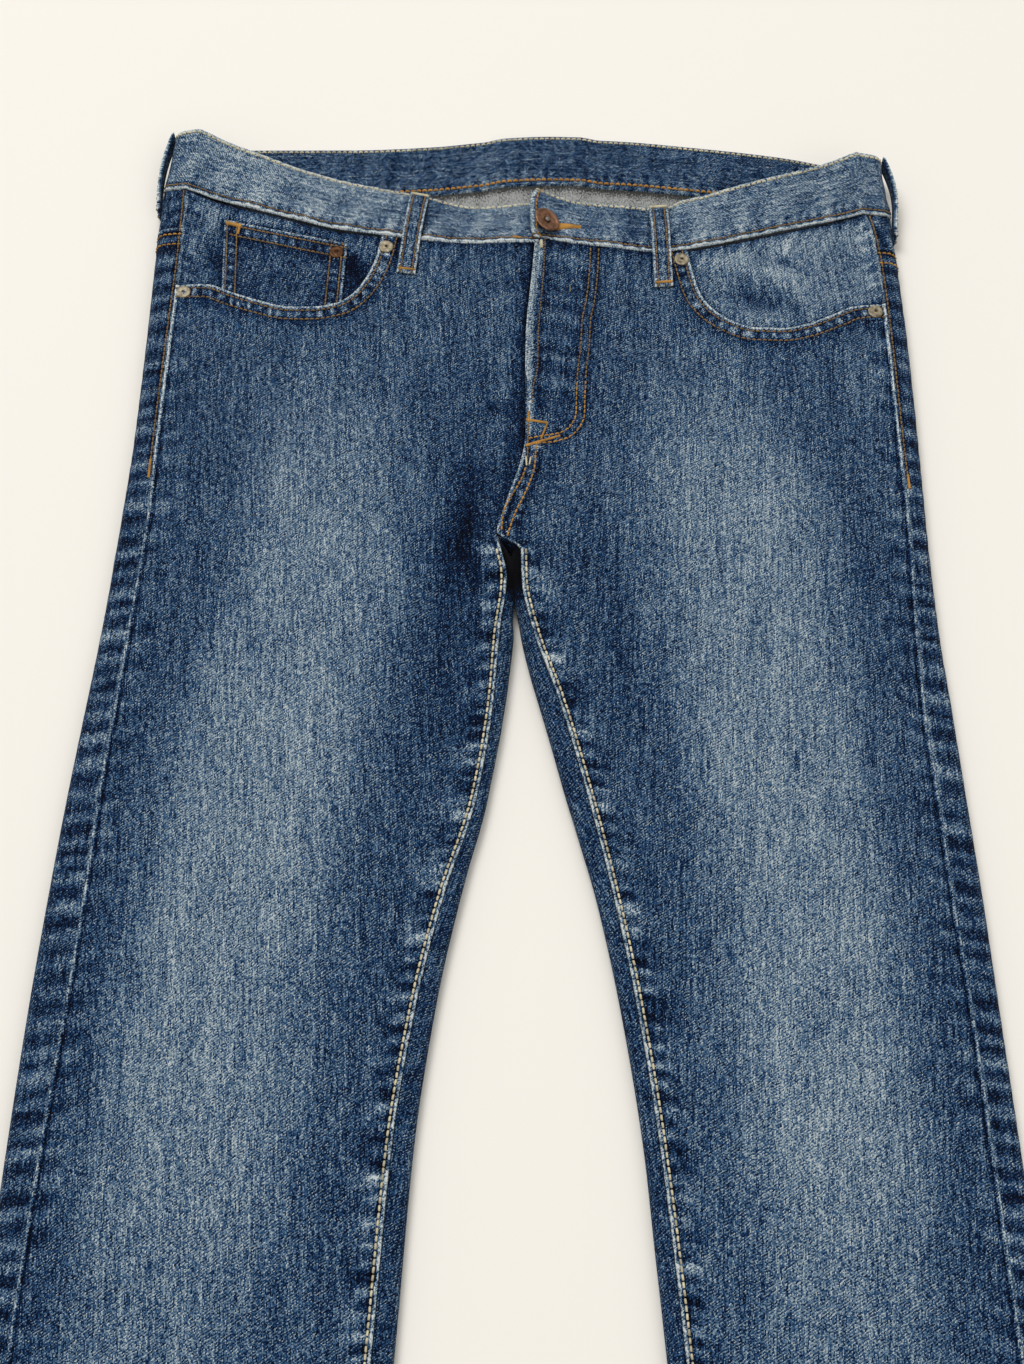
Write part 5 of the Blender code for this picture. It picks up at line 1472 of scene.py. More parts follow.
def front_skin(half, grid):
    """Seams, hems, creases and wear of a front leg."""
    x, y = grid[..., 0], grid[..., 1]
    high = pucker_scale()
    crease = bpy.context.scene.jeans_cloth.crease_depth
    skin = Skin(x.shape, LEG_TONE)
    skin.fade = leg_fade(half, x, y)
    side = abs(x - half.outseam(y))
    inner = abs(x - half.front_edge(y))
    near = y > 330
    mouth, mouth_along = distance_to(
        mouth_curve(half)(MOUTH_SHARES), np.where(near, x, 0), np.where(near, y, 900)
    )
    mouth = np.where(near, mouth, 200.0)
    under_band = abs(x) < abs(MOUTH_TOP_X[half.sign]) + 2
    waist = np.where(under_band, half.front_waist(x) - y, 300.0)
    hem = y - HEM_Y
    seed = 100 + half.sign

    folded = soft_lines(of_half(CREASES, half), x, y)
    skin.lift += crease * folded
    # Crease ridges are paler and troughs darker: partly worn cloth, partly painted shade of the
    # creases and folds.
    skin.fade += 0.09 * folded + 0.03 * soft_lines(half.folds, x, y)
    skin.fade += soft_lines(of_half(SHADES, half), x, y)
    slack = ease(np.minimum(side, inner) / 25)
    skin.lift += crease * 0.32 * rumple(x, y, 11 + half.sign) * slack

    # Outseam: a pressed-open seam under the cloth, and a topstitched edge beside the pocket
    skin.pucker(side, y, seed, 17.0, high * 0.8, 17.0, 0.4, -0.25)
    stitched = ease((y - SIDE_TACK_Y[half.sign]) / 12)
    bared = 0.45 + 0.55 * stitched + 0.2 * ripple(y, seed + 3, 9.0)
    skin.ridge(side, 0.9, 0.95, 0.5, 1.75 * bared)
    skin.ridge(side, 2.7, 0.8, -0.5, -0.5)
    # Painted shade in the groove beside the outseam's ridge.
    skin.fade -= 0.2 * bell(side, 0.9, 2.8)
    # Inseam: the front laps over the back, with one row of stitches close to its edge
    seam = Skin(x.shape, 0)
    seam.layers(inner, 9.0, 0.55)
    seam.ridge(inner, 0.8, 1.05, 0.3, 1.5)
    seam.groove(inner, INSEAM_ROW)
    # Painted shade in the dent of the inseam's row.
    seam.fade -= 0.12 * bell(inner, 1.3, 3.0)
    seam.pucker(inner, y, seed + 7, 11.0, high * 1.3, 14.0, 1.0, 0.15)
    seam.pucker(inner, y, seed + 9, 34.0, high * 0.9, 22.0, 0.5, -0.3)
    skin.add(seam, 1 - ease((y - CROTCH_JOIN_Y + 3) / 6))
    # Pocket mouth: a turned hem with two rows
    skin.layers(mouth, 12.0, 0.75)
    skin.ridge(mouth, 0.9, 1.1, 0.25, 1.4)
    skin.groove(mouth, *MOUTH_ROWS)
    skin.blocks(mouth, mouth_along, 6.2, 2.9, seed + 13)
    # Painted shadow at the step where the mouth's turned hem ends.
    skin.fade -= 0.13 * bell(mouth, 2.2, 12.6)
    # Waist seam: puckers, and a painted shadow of the waistband on the cloth right under it
    skin.pucker(waist, x, seed + 17, 9.0, high * 0.8, 18.0, 0.4, 0.2)
    skin.fade -= 0.12 * bell(waist, 6.0) + 0.16 * bell(waist, 2.2)
    # Painted shade: a dark rim on the front beside each side of the belt loop's foot
    rim = abs(abs(x - FRONT_LOOP_X[half.sign][1]) - LOOP_WIDTH / 2 - 0.8)
    skin.fade -= 0.26 * bell(rim, 1.6) * (1 - ease((waist - 21) / 4))
    # Hem
    skin.layers(hem, HEM_DEPTH, 0.9)
    skin.ridge(hem, 0.8, 1.4, 0.2, 0.85)
    skin.ridge(hem, HEM_ROW, 0.9, -0.4, -0.15)
    skin.pucker(hem, x, seed + 23, 11.0, high * 1.2, 24.0, 0.6, 0.9)
    if half.sign > 0:
        fly_skin(skin, x, y, inner)
    else:
        # The lap throws a shade on the right front, which is pulled up in folds beside it
        lap = x - LEFT.front_edge(y)
        skin.fade -= 0.13 * bell(lap, 5, -3) * ease((y - 246) / 12)
        skin.fade -= 0.35 * bell(lap, 1.8, -0.6) * ease((y - 300) / 12)
        across = ripple(y - 0.3 * x, 61, 21.0) * bell(lap, 14, -14) * ease((y - 300) / 30)
        skin.lift += 0.5 * crease * across
        skin.wear += 0.25 * across
    return skin


def fly_skin(skin, x, y, inner):
    """The lapped fly on the left front, and the felled seam from its foot to the crotch."""
    outer_row = smooth_line(FLY_SEWING)
    near = (y > 236) & (y < 470) & (x < 90)
    away, _ = distance_to(outer_row, np.where(near, x, 900), np.where(near, y, 0))
    row_x = np.interp(y, outer_row[::-1, 1], outer_row[::-1, 0])
    inside = near & (y > FLY_END_Y) & (x < row_x)
    skin.groove(away, 0.0)
    between = np.where(inside, away, 50.0)
    skin.groove(between, FLY_ROW_GAP)
    skin.ridge(between, 2.5, 1.6, 0.2, 0.3)
    above = ease((y - 322) / 14)
    fly = above * (1 - ease((inner - 42) / 8))
    across = ripple(y + 0.25 * inner, 301, 17.0)
    across = across * ease((inner - 3) / 7) * (1 - ease((inner - 32) / 10))
    skin.lift += fly * 0.8 * across
    skin.wear += fly * 0.45 * across
    skin.fade -= fly * 0.03
    skin.layers(np.where(y > 318, inner, 50.0), 9.0, 0.4)
    edge = ease((y - 314) / 6) * bell(inner, 1.9, 3.1)
    skin.wear += edge * (1.15 + 0.35 * ripple(y, 303, 5.0))
    # Painted shade at the step where the folded layers under the fly end.
    skin.fade -= 0.1 * above * bell(inner, 3.2, 9.0)
    skin.fade -= 0.05 * fly
    felled = (1 - ease((y - 308) / 6)) * ease((y - 244) / 5)
    skin.relief += felled * 0.7 * (1 - ease((inner - 15.5) / 2))
    strip = Skin(x.shape, 0)
    strip.groove(inner, 3.6, 12.0)
    strip.blocks(inner, y + 0.3 * inner, 7.8, 4.4, 305, 7.0, 0.8)
    strip.ridge(inner, 1.0, 1.4, 0.1, 1.1)
    # Painted shade beside the raised edge of the felled strip.
    strip.fade -= 0.08 * bell(inner, 3, 16.5)
    skin.add(strip, felled)


def build_front(half):
    grid = front_grid(half)
    skin = front_skin(half, grid)
    grain = grain_of(grid, -half.sign * math.radians(2.5))
    name = f"{half.name}_front"
    wall = Wall(f"{name}_panel", grid, -half.sign, CLOTH, grain, skin, inside_look(skin))
    settle_cloth(wall, name, f"{half.name}_back")


def back_skin(half, grid, stops):
    """Seams, hem, creases and wear of a back leg."""
    x, y = grid[..., 0], grid[..., 1]
    high = pucker_scale()
    skin = Skin(x.shape, BACK_TONE)
    side, inner = stops, stops[:, -1:] - stops
    hem = y - HEM_Y
    seed = 200 + half.sign
    skin.fade += 0.02 * rumple(x, y, 21 + half.sign, 90.0, 22.0, 12)
    under = ease((side - 30) / 20) * ease((inner - 30) / 10)
    seat = np.exp(-(((x - half.sign * 115) / 70) ** 2) - (((y - 330) / 110) ** 2))
    thigh = np.exp(-(((x - half.sign * 160) / 60) ** 2) - (((y - 60) / 150) ** 2))
    skin.fade += under * (0.2 * seat + 0.14 * thigh)
    skin.pucker(side, y, seed, 14.0, high * 0.35, 22.0, 0.8, 0.1)
    stitched = ease((y - SIDE_TACK_Y[half.sign]) / 4)
    skin.ridge(side, 0.1, 0.5, 0.1, 0.7)
    skin.groove(np.where(stitched > 0.5, side, 50.0), SIDE_ROW)
    head = border_arcs(grid)[FIRST_ROW]
    skin.layers(head, 14.5, 0.35)
    skin.ridge(head, 0.9, 1.0, 0.2, 0.9)
    skin.groove(head, *YOKE_ROWS)
    leg = 1 - ease((y - CROTCH_JOIN_Y + 3) / 6)
    # No light gets in between the legs under the crotch
    skin.fade -= 0.9 * np.exp(-(((y - 228) / 18) ** 4)) * (1 - ease((inner - 20) / 12))
    seam = Skin(x.shape, 0)
    seam.pucker(inner, y, seed + 5, 22.0, high * 0.15, 12.0, 0.12, 0.0)
    skin.add(seam, leg)
    skin.layers(hem, HEM_DEPTH, 0.5)
    skin.ridge(hem, 0.8, 1.4, 0.1, 0.8)
    skin.ridge(hem, HEM_ROW, 0.9, -0.3, -0.15)
    skin.pucker(hem, x, seed + 23, 11.0, high * 0.8, 24.0, 0.36, 0.9)
    return skin


def build_back(half):
    grid, stops = back_grid(half)
    skin = back_skin(half, grid, stops)
    x, y = grid[..., 0], grid[..., 1]
    under = grid[..., 2] < RESTING_HEIGHT
    crease = bpy.context.scene.jeans_cloth.crease_depth
    skin.lift -= under * crease * soft_lines(of_half(BACK_CREASES, half), x, y)
    centre = abs(x - centre_back(y))
    seat = ease((y - CENTRE_BACK_FOOT_Y) / 10)
    for row in CENTRE_BACK_ROWS:
        skin.relief -= seat * 0.3 * bell(centre, 0.9, row)
    skin.wear += seat * 0.4 * ripple(y, 401, 8.0) * bell(centre, 10)
    skin.rest(under)
    grain = np.stack([half.sign * stops, y], axis=-1)
    name = f"{half.name}_back"
    wall = Wall(f"{name}_panel", grid, half.sign, CLOTH, grain, skin, inside_look(skin))
    settle_cloth(wall, name, f"back_pocket_{half.name}")


def build_yoke(half):
    grid, stops = yoke_grid(half)
    y = grid[..., 1]
    skin = Skin(y.shape, YOKE_TONE)
    _, _, head, foot = border_arcs(grid)
    high = pucker_scale()
    skin.pucker(foot, stops, 501 + half.sign, 8.5, high * 0.7, 15.0, 0.5)
    skin.pucker(head, stops, 511 + half.sign, 9.0, high * 0.7, 14.0, 0.5)
    skin.pucker(stops, y, 521 + half.sign, 12.0, high * 0.35, 14.0, 0.5)
    skin.ridge(stops, 0.1, 0.5, 0.1, 0.7)
    skin.groove(stops, SIDE_ROW)
    skin.rest(grid[..., 2] < RESTING_HEIGHT)
    grain = np.stack([half.sign * stops, y + 0.25 * stops], axis=-1)
    # Painted shade on the yoke's reverse: slanting bands, and darker just under the waistband.
    folded = 0.09 * ripple(stops, 531 + half.sign, 14.0) - 0.5 * bell(head, 4.5)
    look = (inside_look(skin)[0], folded)
    name = f"{half.name}_yoke"
    wall = Wall(f"{name}_panel", grid, half.sign, CLOTH, grain, skin, look)
    settle_cloth(wall, name, f"{half.name}_back")
    sew("tan", wall.along(FIRST_COLUMN, SIDE_ROW), 3.0, 0.88)


def build_facing(half):
    grid = facing_grid(half)
    x, y = grid[..., 0], grid[..., 1]
    high = pucker_scale()
    skin = Skin(x.shape, FACING_TONE[half.sign])
    waist = half.front_waist(x) - y
    skin.pucker(waist, x, 601 + half.sign, 9.0, high * 0.6, 16.0, 0.4)
    # Painted shadow of the waistband on the facing just under it.
    skin.fade -= 0.16 * bell(waist, 5.0) + 0.2 * bell(waist, 2.2)
    skin.wear += 0.35 * bell(waist, 5.0, 12) * (0.6 + 0.6 * ripple(x, 603, 26.0))
    side = abs(x - half.outseam(y))
    above = ease((y - MOUTH_END_Y[half.sign] - 2) / 8)
    skin.lift += LAYER * 0.9 * (1 - ease(side / 10)) * above
    skin.pucker(side, y, 611 + half.sign, 9.0, high * 0.8, 14.0, 0.5)
    skin.ridge(side, 0.9, 0.95, 0.4, 1.6)
    skin.ridge(side, 2.8, 0.9, -0.3, -0.4)
    # Painted shade in the groove beside the outseam's ridge.
    skin.fade -= 0.14 * bell(side, 1.2, 3.0)
    # Painted shadow of the pocket mouth's edge on the facing under it.
    under, _ = distance_to(mouth_curve(half)(MOUTH_SHARES), x, y)
    skin.fade -= 0.12 * bell(under, 7.0) + 0.26 * bell(under, 2.6)
    # Painted shade in the recess between the coin pocket and the mouth, and in the crevice round
    # the coin pocket.
    if half.sign < 0:
        rim = bell(x, 4.5, -99.5) * ease((y - 408) / 8) * (1 - ease((y - 446) / 8))
        skin.fade -= 0.35 * rim
        around, _ = distance_to(np.array(COIN_CORNERS)[[3, 0, 1, 2]], x, y)
        skin.fade -= 0.32 * bell(around, 2.4)
    folded = soft_lines(of_half(FACING_FOLDS, half), x, y)
    skin.lift += folded
    # Fold troughs are darker and ridges lighter: painted shade and light of the folds.
    skin.fade += 0.21 * folded
    skin.fade += 0.03 * rumple(x, y, 31 + half.sign, 60.0, 15.0, 10)
    grain = grain_of(grid, half.sign * math.radians(6))
    wall = Wall(f"{half.name}_facing_panel", grid, -half.sign, CLOTH, grain, skin)
    settle_cloth(wall, f"{half.name}_pocket_facing", f"{half.name}_front")


def build_coin_pocket():
    grid = coin_grid()
    left, right, top, _ = border_arcs(grid)
    skin = Skin(left.shape, COIN_TONE)
    skin.fade += 0.03 * rumple(grid[..., 0], grid[..., 1], 41, 40.0, 12.0, 10)
    edges = (
        # distance, run, rows, seed, hem, its height, bared edge, shade beside the hem
        (top, left, COIN_TOP_ROWS, 701, 12.5, 0.55, 0.2, 1.15, 0.16, 14.5),
        (left, top, COIN_LEFT_ROWS, 703, 9.0, 0.3, 0.15, 1.0, 0.08, 12.0),
        (right, top, COIN_RIGHT_ROWS, 705, 10.5, 0.3, 0.15, 0.9, 0.08, 13.5),
    )
    for away, along, rows, seed, hem, height, raised, bared, shade, shade_at in edges:
        skin.layers(away, hem, height)
        skin.ridge(away, 0.8, 1.1, raised, bared)
        skin.groove(away, *rows)
        skin.blocks(away, along, sum(rows) / 2, 2.6, seed, strength=0.7)
        skin.fade -= shade * bell(away, 3.0, shade_at)
    wall = Wall("coin_pocket_patch", grid, 1, CLOTH, grain_of(grid, math.radians(-14)), skin)
    settle_cloth(wall, "coin_pocket", "right_pocket_facing")
    for place in COIN_TOP_ROWS:
        sew("tan", wall.along(FIRST_ROW, place), 2.9, 0.88, where=lambda p: p[:, 0] > -179)
    for border, places in ((FIRST_COLUMN, COIN_LEFT_ROWS), (LAST_COLUMN, COIN_RIGHT_ROWS)):
        for place in places:
            sew("tan", wall.along(border, place), 2.9, 0.88)
    for ends, width, spacing in COIN_TACKS:
        tack("orange", *wall.drop(ends), width, spacing)


def build_fly():
    grid = fly_facing_grid()
    y = grid[..., 1]
    skin = Skin(y.shape, FLY_TONE)
    edge = border_arcs(grid)[FIRST_COLUMN]
    skin.lift += 1.2 * (1 - ease(edge / 3.0))
    skin.ridge(edge, 1.0, 2.2, 0.1, 0.8)
    skin.wear += 0.3 * ripple(y, 801, 5.0) * bell(edge, 4)
    wall = Wall("fly_facing_strip", grid, 1, CLOTH, grain_of(grid, 0.0), skin)
    settle_cloth(wall, "fly_facing", "fly_shield")
    grid = fly_shield_grid()
    skin = Skin(grid.shape[:2], LEG_TONE)
    wall = Wall("fly_shield_strip", grid, 1, CLOTH, grain_of(grid, 0.0), skin)
    settle_cloth(wall, "fly_shield", "right_front")


def band_grid():
    """The waistband from the end of its underlap round the back to the end of the lap."""
    right = band_half(RIGHT, waist_seam(RIGHT, LAP_EDGE_X + UNDERLAP), -UNDERLAP)
    left = band_half(LEFT, waist_seam(LEFT, LAP_EDGE_X), 0.0)
    grid = np.concatenate([right, left[:, -2::-1]], axis=1)
    set_in = curve_through(LAP_END)(np.linspace(0, 1, len(grid)))
    arcs = border_arcs(grid)[LAST_COLUMN]
    for row, away, most in zip(grid, arcs, set_in):
        moved = away + most * (1 - ease(away / 22))
        old = row[::-1].copy()
        for k in range(3):
            row[:, k] = np.interp(moved, away[::-1], old[:, k])
    return grid, right, left


def build_waistband():
    grid, right, _ = band_grid()
    along, end, foot, top = border_arcs(grid)
    x, y = grid[..., 0], grid[..., 1]
    high = pucker_scale()
    on_right = np.arange(x.shape[1])[None] < right.shape[1]
    side = {-1: on_right, 1: ~on_right}
    tones = {sign: BAND_TONE_SET + curve_through(BAND_TONES[sign])(x) for sign in BAND_TONES}
    back = ease((9.0 - grid[0, :, 2]) / 5)[None]
    seen = 1 - back
    skin = Skin(x.shape, 0)
    skin.fade += mix(np.where(on_right, tones[-1], tones[1]), BAND_BACK_TONE, back)
    skin.fade += 0.035 * rumple(x, y, 51, 70.0, 12.0, 12)
    slack = ease(np.minimum(foot, top) / 8)
    skin.lift += seen * 0.35 * rumple(x, 2 * y, 53, 90.0, 26.0, 8) * slack
    skin.ridge(foot, 0.6, 0.9, 0.25, 1.45)
    skin.groove(foot, BAND_FOOT_ROW)
    skin.ridge(top, 0.8, 1.2, 0.1, 0.8)
    skin.ridge(top, 2.4, 0.8, -0.3, -0.1)
    skin.ridge(end, 0.8, 1.3, 0.2, 1.4)
    skin.groove(end, BAND_END_ROW)
    skin.pucker(foot, along, 901, 7.6, high * 0.7, 12.0, 0.5, 0.35)
    skin.pucker(foot, along, 907, 27.0, high * 0.9, 34.0, 0.35, 0.5)
    skin.pucker(top, along, 903, 9.0, high * 0.6, 10.0, 0.3, -0.5)
    # Painted shadow of the lap's end on the underlap.
    skin.fade -= 0.14 * on_right * bell(x, 4, LAP_EDGE_X - 1)
    # Painted shade: dark rims at each loop's sides, and a darker patch on its side towards the
    # fly.
    for sign, (top_x, foot_x) in FRONT_LOOP_X.items():
        rim = abs(abs(x - mix(foot_x, top_x, foot / BAND_WIDTH)) - LOOP_WIDTH / 2 - 0.8)
        skin.fade -= 0.24 * seen * bell(rim, 1.6) * side[sign]
        shade = bell(x, 9, top_x - sign * LOOP_SHADE_ASIDE)
        skin.fade -= LOOP_SHADE * seen * shade * side[sign]
    for line in BAND_CREASES:
        folded = soft_lines([line[1:]], x, y) * side[line[0]] * seen
        skin.lift += folded
        # Crease ridges are paler and troughs darker: partly worn cloth, partly painted shade.
        skin.fade += 0.05 * folded
    skin.rest(grid[..., 2] < RESTING_HEIGHT)
    inner_fade = BAND_INSIDE_TONE + 0.02 * rumple(x, y, 57, 60.0, 12.0, 12)
    inner_fade = inner_fade + 0.09 * ripple(along + 0.1 * foot, 911, 10.0)
    inner_fade = inner_fade + 0.05 * ripple(along, 913, 23.0)
    inner_wear = 0.6 * ripple(along + 0.3 * foot, 905, 9.0) * (1 - ease((foot - 6) / 12))
    inner_wear += 0.5 * bell(foot, 1.6) + 0.6 * bell(top, 1.2)
    centre = (grid[:-1, :-1] + grid[1:, 1:]) / 2
    slot_x = SLOT_START_X + SLOT_LENGTH / 2
    hole = abs(centre[..., 0] - slot_x) < SLOT_LENGTH / 2 - 1.0
    hole &= abs(centre[..., 1] - BUTTON_PLACE[1]) < SLOT_WIDTH / 2 - 1.0
    hole &= np.arange(centre.shape[1])[None] > right.shape[1]
    grain = np.stack([foot, along], axis=-1)
    wall = Wall("waistband_strip", grid, 1, BAND, grain, skin, (inner_fade, inner_wear), hole)
    settle_cloth(wall, "waistband", "right_yoke", "left_yoke", faces=1)
    sew("cream", wall.along(LAST_ROW, 2.2), 3.4, thick=1.4)
    sew("tan", wall.along(FIRST_ROW, BAND_FOOT_ROW), 3.0, 0.86)
    sew("cream", wall.along(LAST_ROW, 2.4, "inner"), 3.4, thick=1.3)
    sew("orange", wall.along(FIRST_ROW, 3.4, "inner"), 3.6, 0.8, thick=1.6)
    sew("orange", wall.along(LAST_COLUMN, BAND_END_ROW), 3.2, 0.8, thick=1.1)
    corner = [(x, LEFT.front_waist(max(x, 0.0)) + 0.8) for x in (-3.0, 2.0)]
    tack("orange", *wall.drop(corner), 1.8)
    slot_sewing(wall)


def slot_sewing(wall):
    """The worked buttonhole: stitches from both sides that nearly close it."""
    x = np.linspace(*SLOT_SEWING_X, 34)
    reach = mix(2.2, 0.9, ease((x - x[0]) / (x[-1] - x[0])))
    for side in (1, -1):
        line = np.stack([x, BUTTON_PLACE[1] + side * reach * 0.55], axis=1)
        points, ups = wall.drop(line, 30.0)
        way = np.tile((0.25, 1.0, 0.0), (len(points), 1))
        way[::2, 0] += 0.55
        lengths = 2 * np.interp(points[:, 0], x, reach)
        for k, length in enumerate(lengths):
            centre = points[k] + ups[k] * 0.2
            sewing.append(("orange", centre[None], way[[k]], ups[[k]], float(length), 1.0))


def seed_of(name):
    """A seed from a name, the same on every run."""
    return sum(ord(letter) * (k + 3) for k, letter in enumerate(name))


def build_loop(node_name, grid, flip, tacks=True):
    """A belt loop: denim folded in three, with two rows of stitches and bar tacks."""
    name = f"{node_name}_strap"
    left, right, top, foot = border_arcs(grid)
    skin = Skin(left.shape, LOOP_TONE)
    edge = np.minimum(left, right)
    skin.ridge(edge, 0.7, 1.0, 0.15, 1.3)
    skin.ridge(edge, LOOP_ROW, 0.8, -0.3, -0.35)
    # Painted shade in the grooves of the loop's rows.
    skin.fade -= 0.24 * bell(edge, 1.0, LOOP_ROW)
    skin.ridge(edge, LOOP_WIDTH / 2, 1.8, 0.1, 0.15)
    skin.pucker(edge, top, seed_of(name), 7.0, pucker_scale() * 0.4, 7.0, 0.35)
    skin.wear += 0.9 * bell(np.minimum(top, foot), 1.2)
    skin.rest(grid[..., 2] < 1.6)
    wall = Wall(name, grid, flip, STRAP, np.stack([left, -top], axis=-1), skin)
    settle_cloth(wall, node_name, "waistband", cut="belt_loop", faces=1)
    for border in (FIRST_COLUMN, LAST_COLUMN):
        sew("tan", wall.along(border, LOOP_ROW), 2.9, 0.85)
    for border in (FIRST_ROW, LAST_ROW) if tacks else ():
        points, ups = wall.along(border, 2.6)
        tack("orange" if border == LAST_ROW else "cream", points[[2, -3]], ups[[2, -3]], 1.5)


def build_back_pocket(half):
    grid = back_pocket_grid(half)
    left, right, top, foot = border_arcs(grid)
    edge = np.minimum(np.minimum(left, right), foot)
    skin = Skin(left.shape, YOKE_TONE)
    skin.fade += 0.1 * bell(np.hypot(left - 70, top - 80), 60)
    for away, places in ((edge, POCKET_ROWS), (top, POCKET_TOP_ROWS)):
        for place in places:
            skin.ridge(away, place, 0.8, -0.25, -0.15)
    skin.wear += 0.5 * bell(edge, 1.4) + 0.7 * bell(top, 1.4)
    skin.rest(True)
    name = f"back_pocket_{half.name}"
    wall = Wall(f"{name}_patch", grid, -1, CLOTH, grain_of(grid, 0.0), skin)
    settle_cloth(wall, name, cut="back_pocket")
    for border in (FIRST_COLUMN, LAST_COLUMN, LAST_ROW):
        for place in POCKET_ROWS:
            sew("tan", wall.along(border, place))
    for place in POCKET_TOP_ROWS:
        sew("tan", wall.along(FIRST_ROW, place))


def turned_piece(name, profile, base, axis, materials, slots, steps=48):
    """A round fitting: a profile of (radius, height) turned about an axis through base.

    The first faces out from the axis have the materials that slots names, the rest the first.
    """
    angles = np.arange(steps) * math.tau / steps
    verts, faces, rings, looks = [], [], [], []
    for radius, height in profile:
        if radius == 0:
            rings.append([len(verts)])
            verts.append((0, 0, height))
        else:
            rings.append(list(range(len(verts), len(verts) + steps)))
            verts += [(radius * math.cos(a), radius * math.sin(a), height) for a in angles]
    for place, (upper, lower) in enumerate(zip(rings, rings[1:])):
        looks += [slots[place] if place < len(slots) else 0] * steps
        for k in range(steps):
            n = (k + 1) % steps
            if len(upper) == 1:
                faces.append((upper[0], lower[k], lower[n]))
            elif len(lower) == 1:
                faces.append((upper[k], lower[0], upper[n]))
            else:
                faces.append((upper[k], lower[k], lower[n], upper[n]))
    turn = Vector(axis).to_track_quat("Z", "Y").to_matrix().to_4x4()
    place = Matrix.Translation(Vector(base) * MM) @ turn @ Matrix.Scale(MM, 4)
    mesh = bpy.data.meshes.new(name)
    mesh.from_pydata([tuple(place @ Vector(v)) for v in verts], [], faces)
    for material in materials:
        mesh.materials.append(material)
    mesh.polygons.foreach_set("material_index", looks)
    mesh.shade_smooth()
    return linked(name, mesh)


def set_rivet(name, x, y, height, stand, materials, looks, slot):
    """A rivet's cap, upright on the cloth whose height is given."""

    def rise(aside, along):
        return float(height(x + aside, y + along))

    reach = 3.0
    slope_x = (rise(reach, 0) - rise(-reach, 0)) / (2 * reach)
    slope_y = (rise(0, reach) - rise(0, -reach)) / (2 * reach)
    axis = Vector((-slope_x, -slope_y, 1.0)).normalized()
    base = Vector((x, y, rise(0, 0))) + axis * (CLOTH / 2 + SEAM + stand)
    thing = turned_piece(f"{name}_cap", RIVET_DETAIL, base, axis, materials, looks)
    settle(thing, name)


def metals(setting):
    """The plated metals of the fittings, by name."""
    return {
        name: material_of(name, metal_material, label, getattr(setting, name), roughness)
        for name, label, roughness in (
            ("brass", "worn_brass_stamped_antique", 0.62),
            ("dark_copper", "dark_copper_stamped_antique", 0.5),
            ("copper", "copper_stamped_antique", 0.48),
            ("steel", "steel_dome_worn_bright", 0.35),
        )
    }


def build_rivets(setting):
    metal = metals(setting)
    both = [metal["brass"], metal["dark_copper"]]
    for name, (sign, x, y) in RIVET_PLACES.items():
        half = RIGHT if sign < 0 else LEFT

        def height(px, py, half=half):
            return front_height(half, px, py)

        set_rivet(name, x, y, height, 0.4, both, (1, 1), "rivet_metal")

    def coin_height(px, py):
        return facing_height(RIGHT, px, py) + LAYER

    name = "rivet_coin_pocket"
    set_rivet(name, *COIN_RIVET_PLACE, coin_height, 0.2, both[1:], (), "rivet_copper")


def level_at(band, x, y):
    """Height of the waistband's middle at a point of its front."""
    seam_y, top_y = at_x(band, x, 0.0)[1], at_x(band, x, 1.0)[1]
    return at_x(band, x, (y - seam_y) / (top_y - seam_y))[2]


def build_button(setting):
    metal = metals(setting)
    _, right, left = band_grid()
    x, y = BUTTON_PLACE
    base_z = level_at(left, x, y) + BAND / 2 + BUTTON_STAND
    lean, _, rise = BUTTON_AXIS
    floor_z = level_at(right, x, y) + BAND / 2 + SEAM + SHANK_RADIUS * lean
    foot = (floor_z - base_z) / rise
    profile = BUTTON_DETAIL + ((SHANK_RADIUS, 3.2), (SHANK_RADIUS, foot), (0.0, foot))
    materials = [metal["copper"], metal["steel"], metal["dark_copper"]]
    looks = (1, 1, 2, 2)  # a steel dome in a dark ring
    base = (x, y, base_z)
    thing = turned_piece("waist_button_cap", profile, base, BUTTON_AXIS, materials, looks, 64)
    settle(thing, "waist_button")


def sew_front():
    """The sewing of both fronts, laid on their outer faces."""
    for half in HALVES:
        wall = walls[f"{half.name}_front_panel"]
        back = walls[f"{half.name}_back_panel"]
        line = mouth_curve(half)(np.linspace(0, 1, 160))
        for distance in MOUTH_ROWS:
            sew("tan", wall.drop(beside(line, half.sign * distance)), 3.2, 0.76)
        inseam = wall.along(LAST_COLUMN, INSEAM_ROW)
        sew("cream", inseam, 3.9, 0.78, where=lambda p: p[:, 1] < CROTCH_JOIN_Y - 4, thick=1.35)
        low = SIDE_TACK_Y[half.sign]
        side = back.along(FIRST_COLUMN, SIDE_ROW)
        sew("tan", side, 3.2, 0.8, where=lambda p, low=low: p[:, 1] > low)
        points, ups = back.along(FIRST_COLUMN, 1.6)
        keep = (points[:, 1] > low - 7) & (points[:, 1] < low + 7)
        tack("orange", points[keep][[0, -1]], ups[keep][[0, -1]], 1.5)
        for distance in YOKE_ROWS:
            sew("orange", back.along(FIRST_ROW, distance), 3.1, 0.8)
        for place in (wall, back):
            sew("tan", place.along(LAST_ROW, HEM_ROW), 3.4)
        for distance in CENTRE_BACK_ROWS:
            centre = back.along(LAST_COLUMN, distance)
            sew("tan", centre, where=lambda p: p[:, 1] > CENTRE_BACK_FOOT_Y)


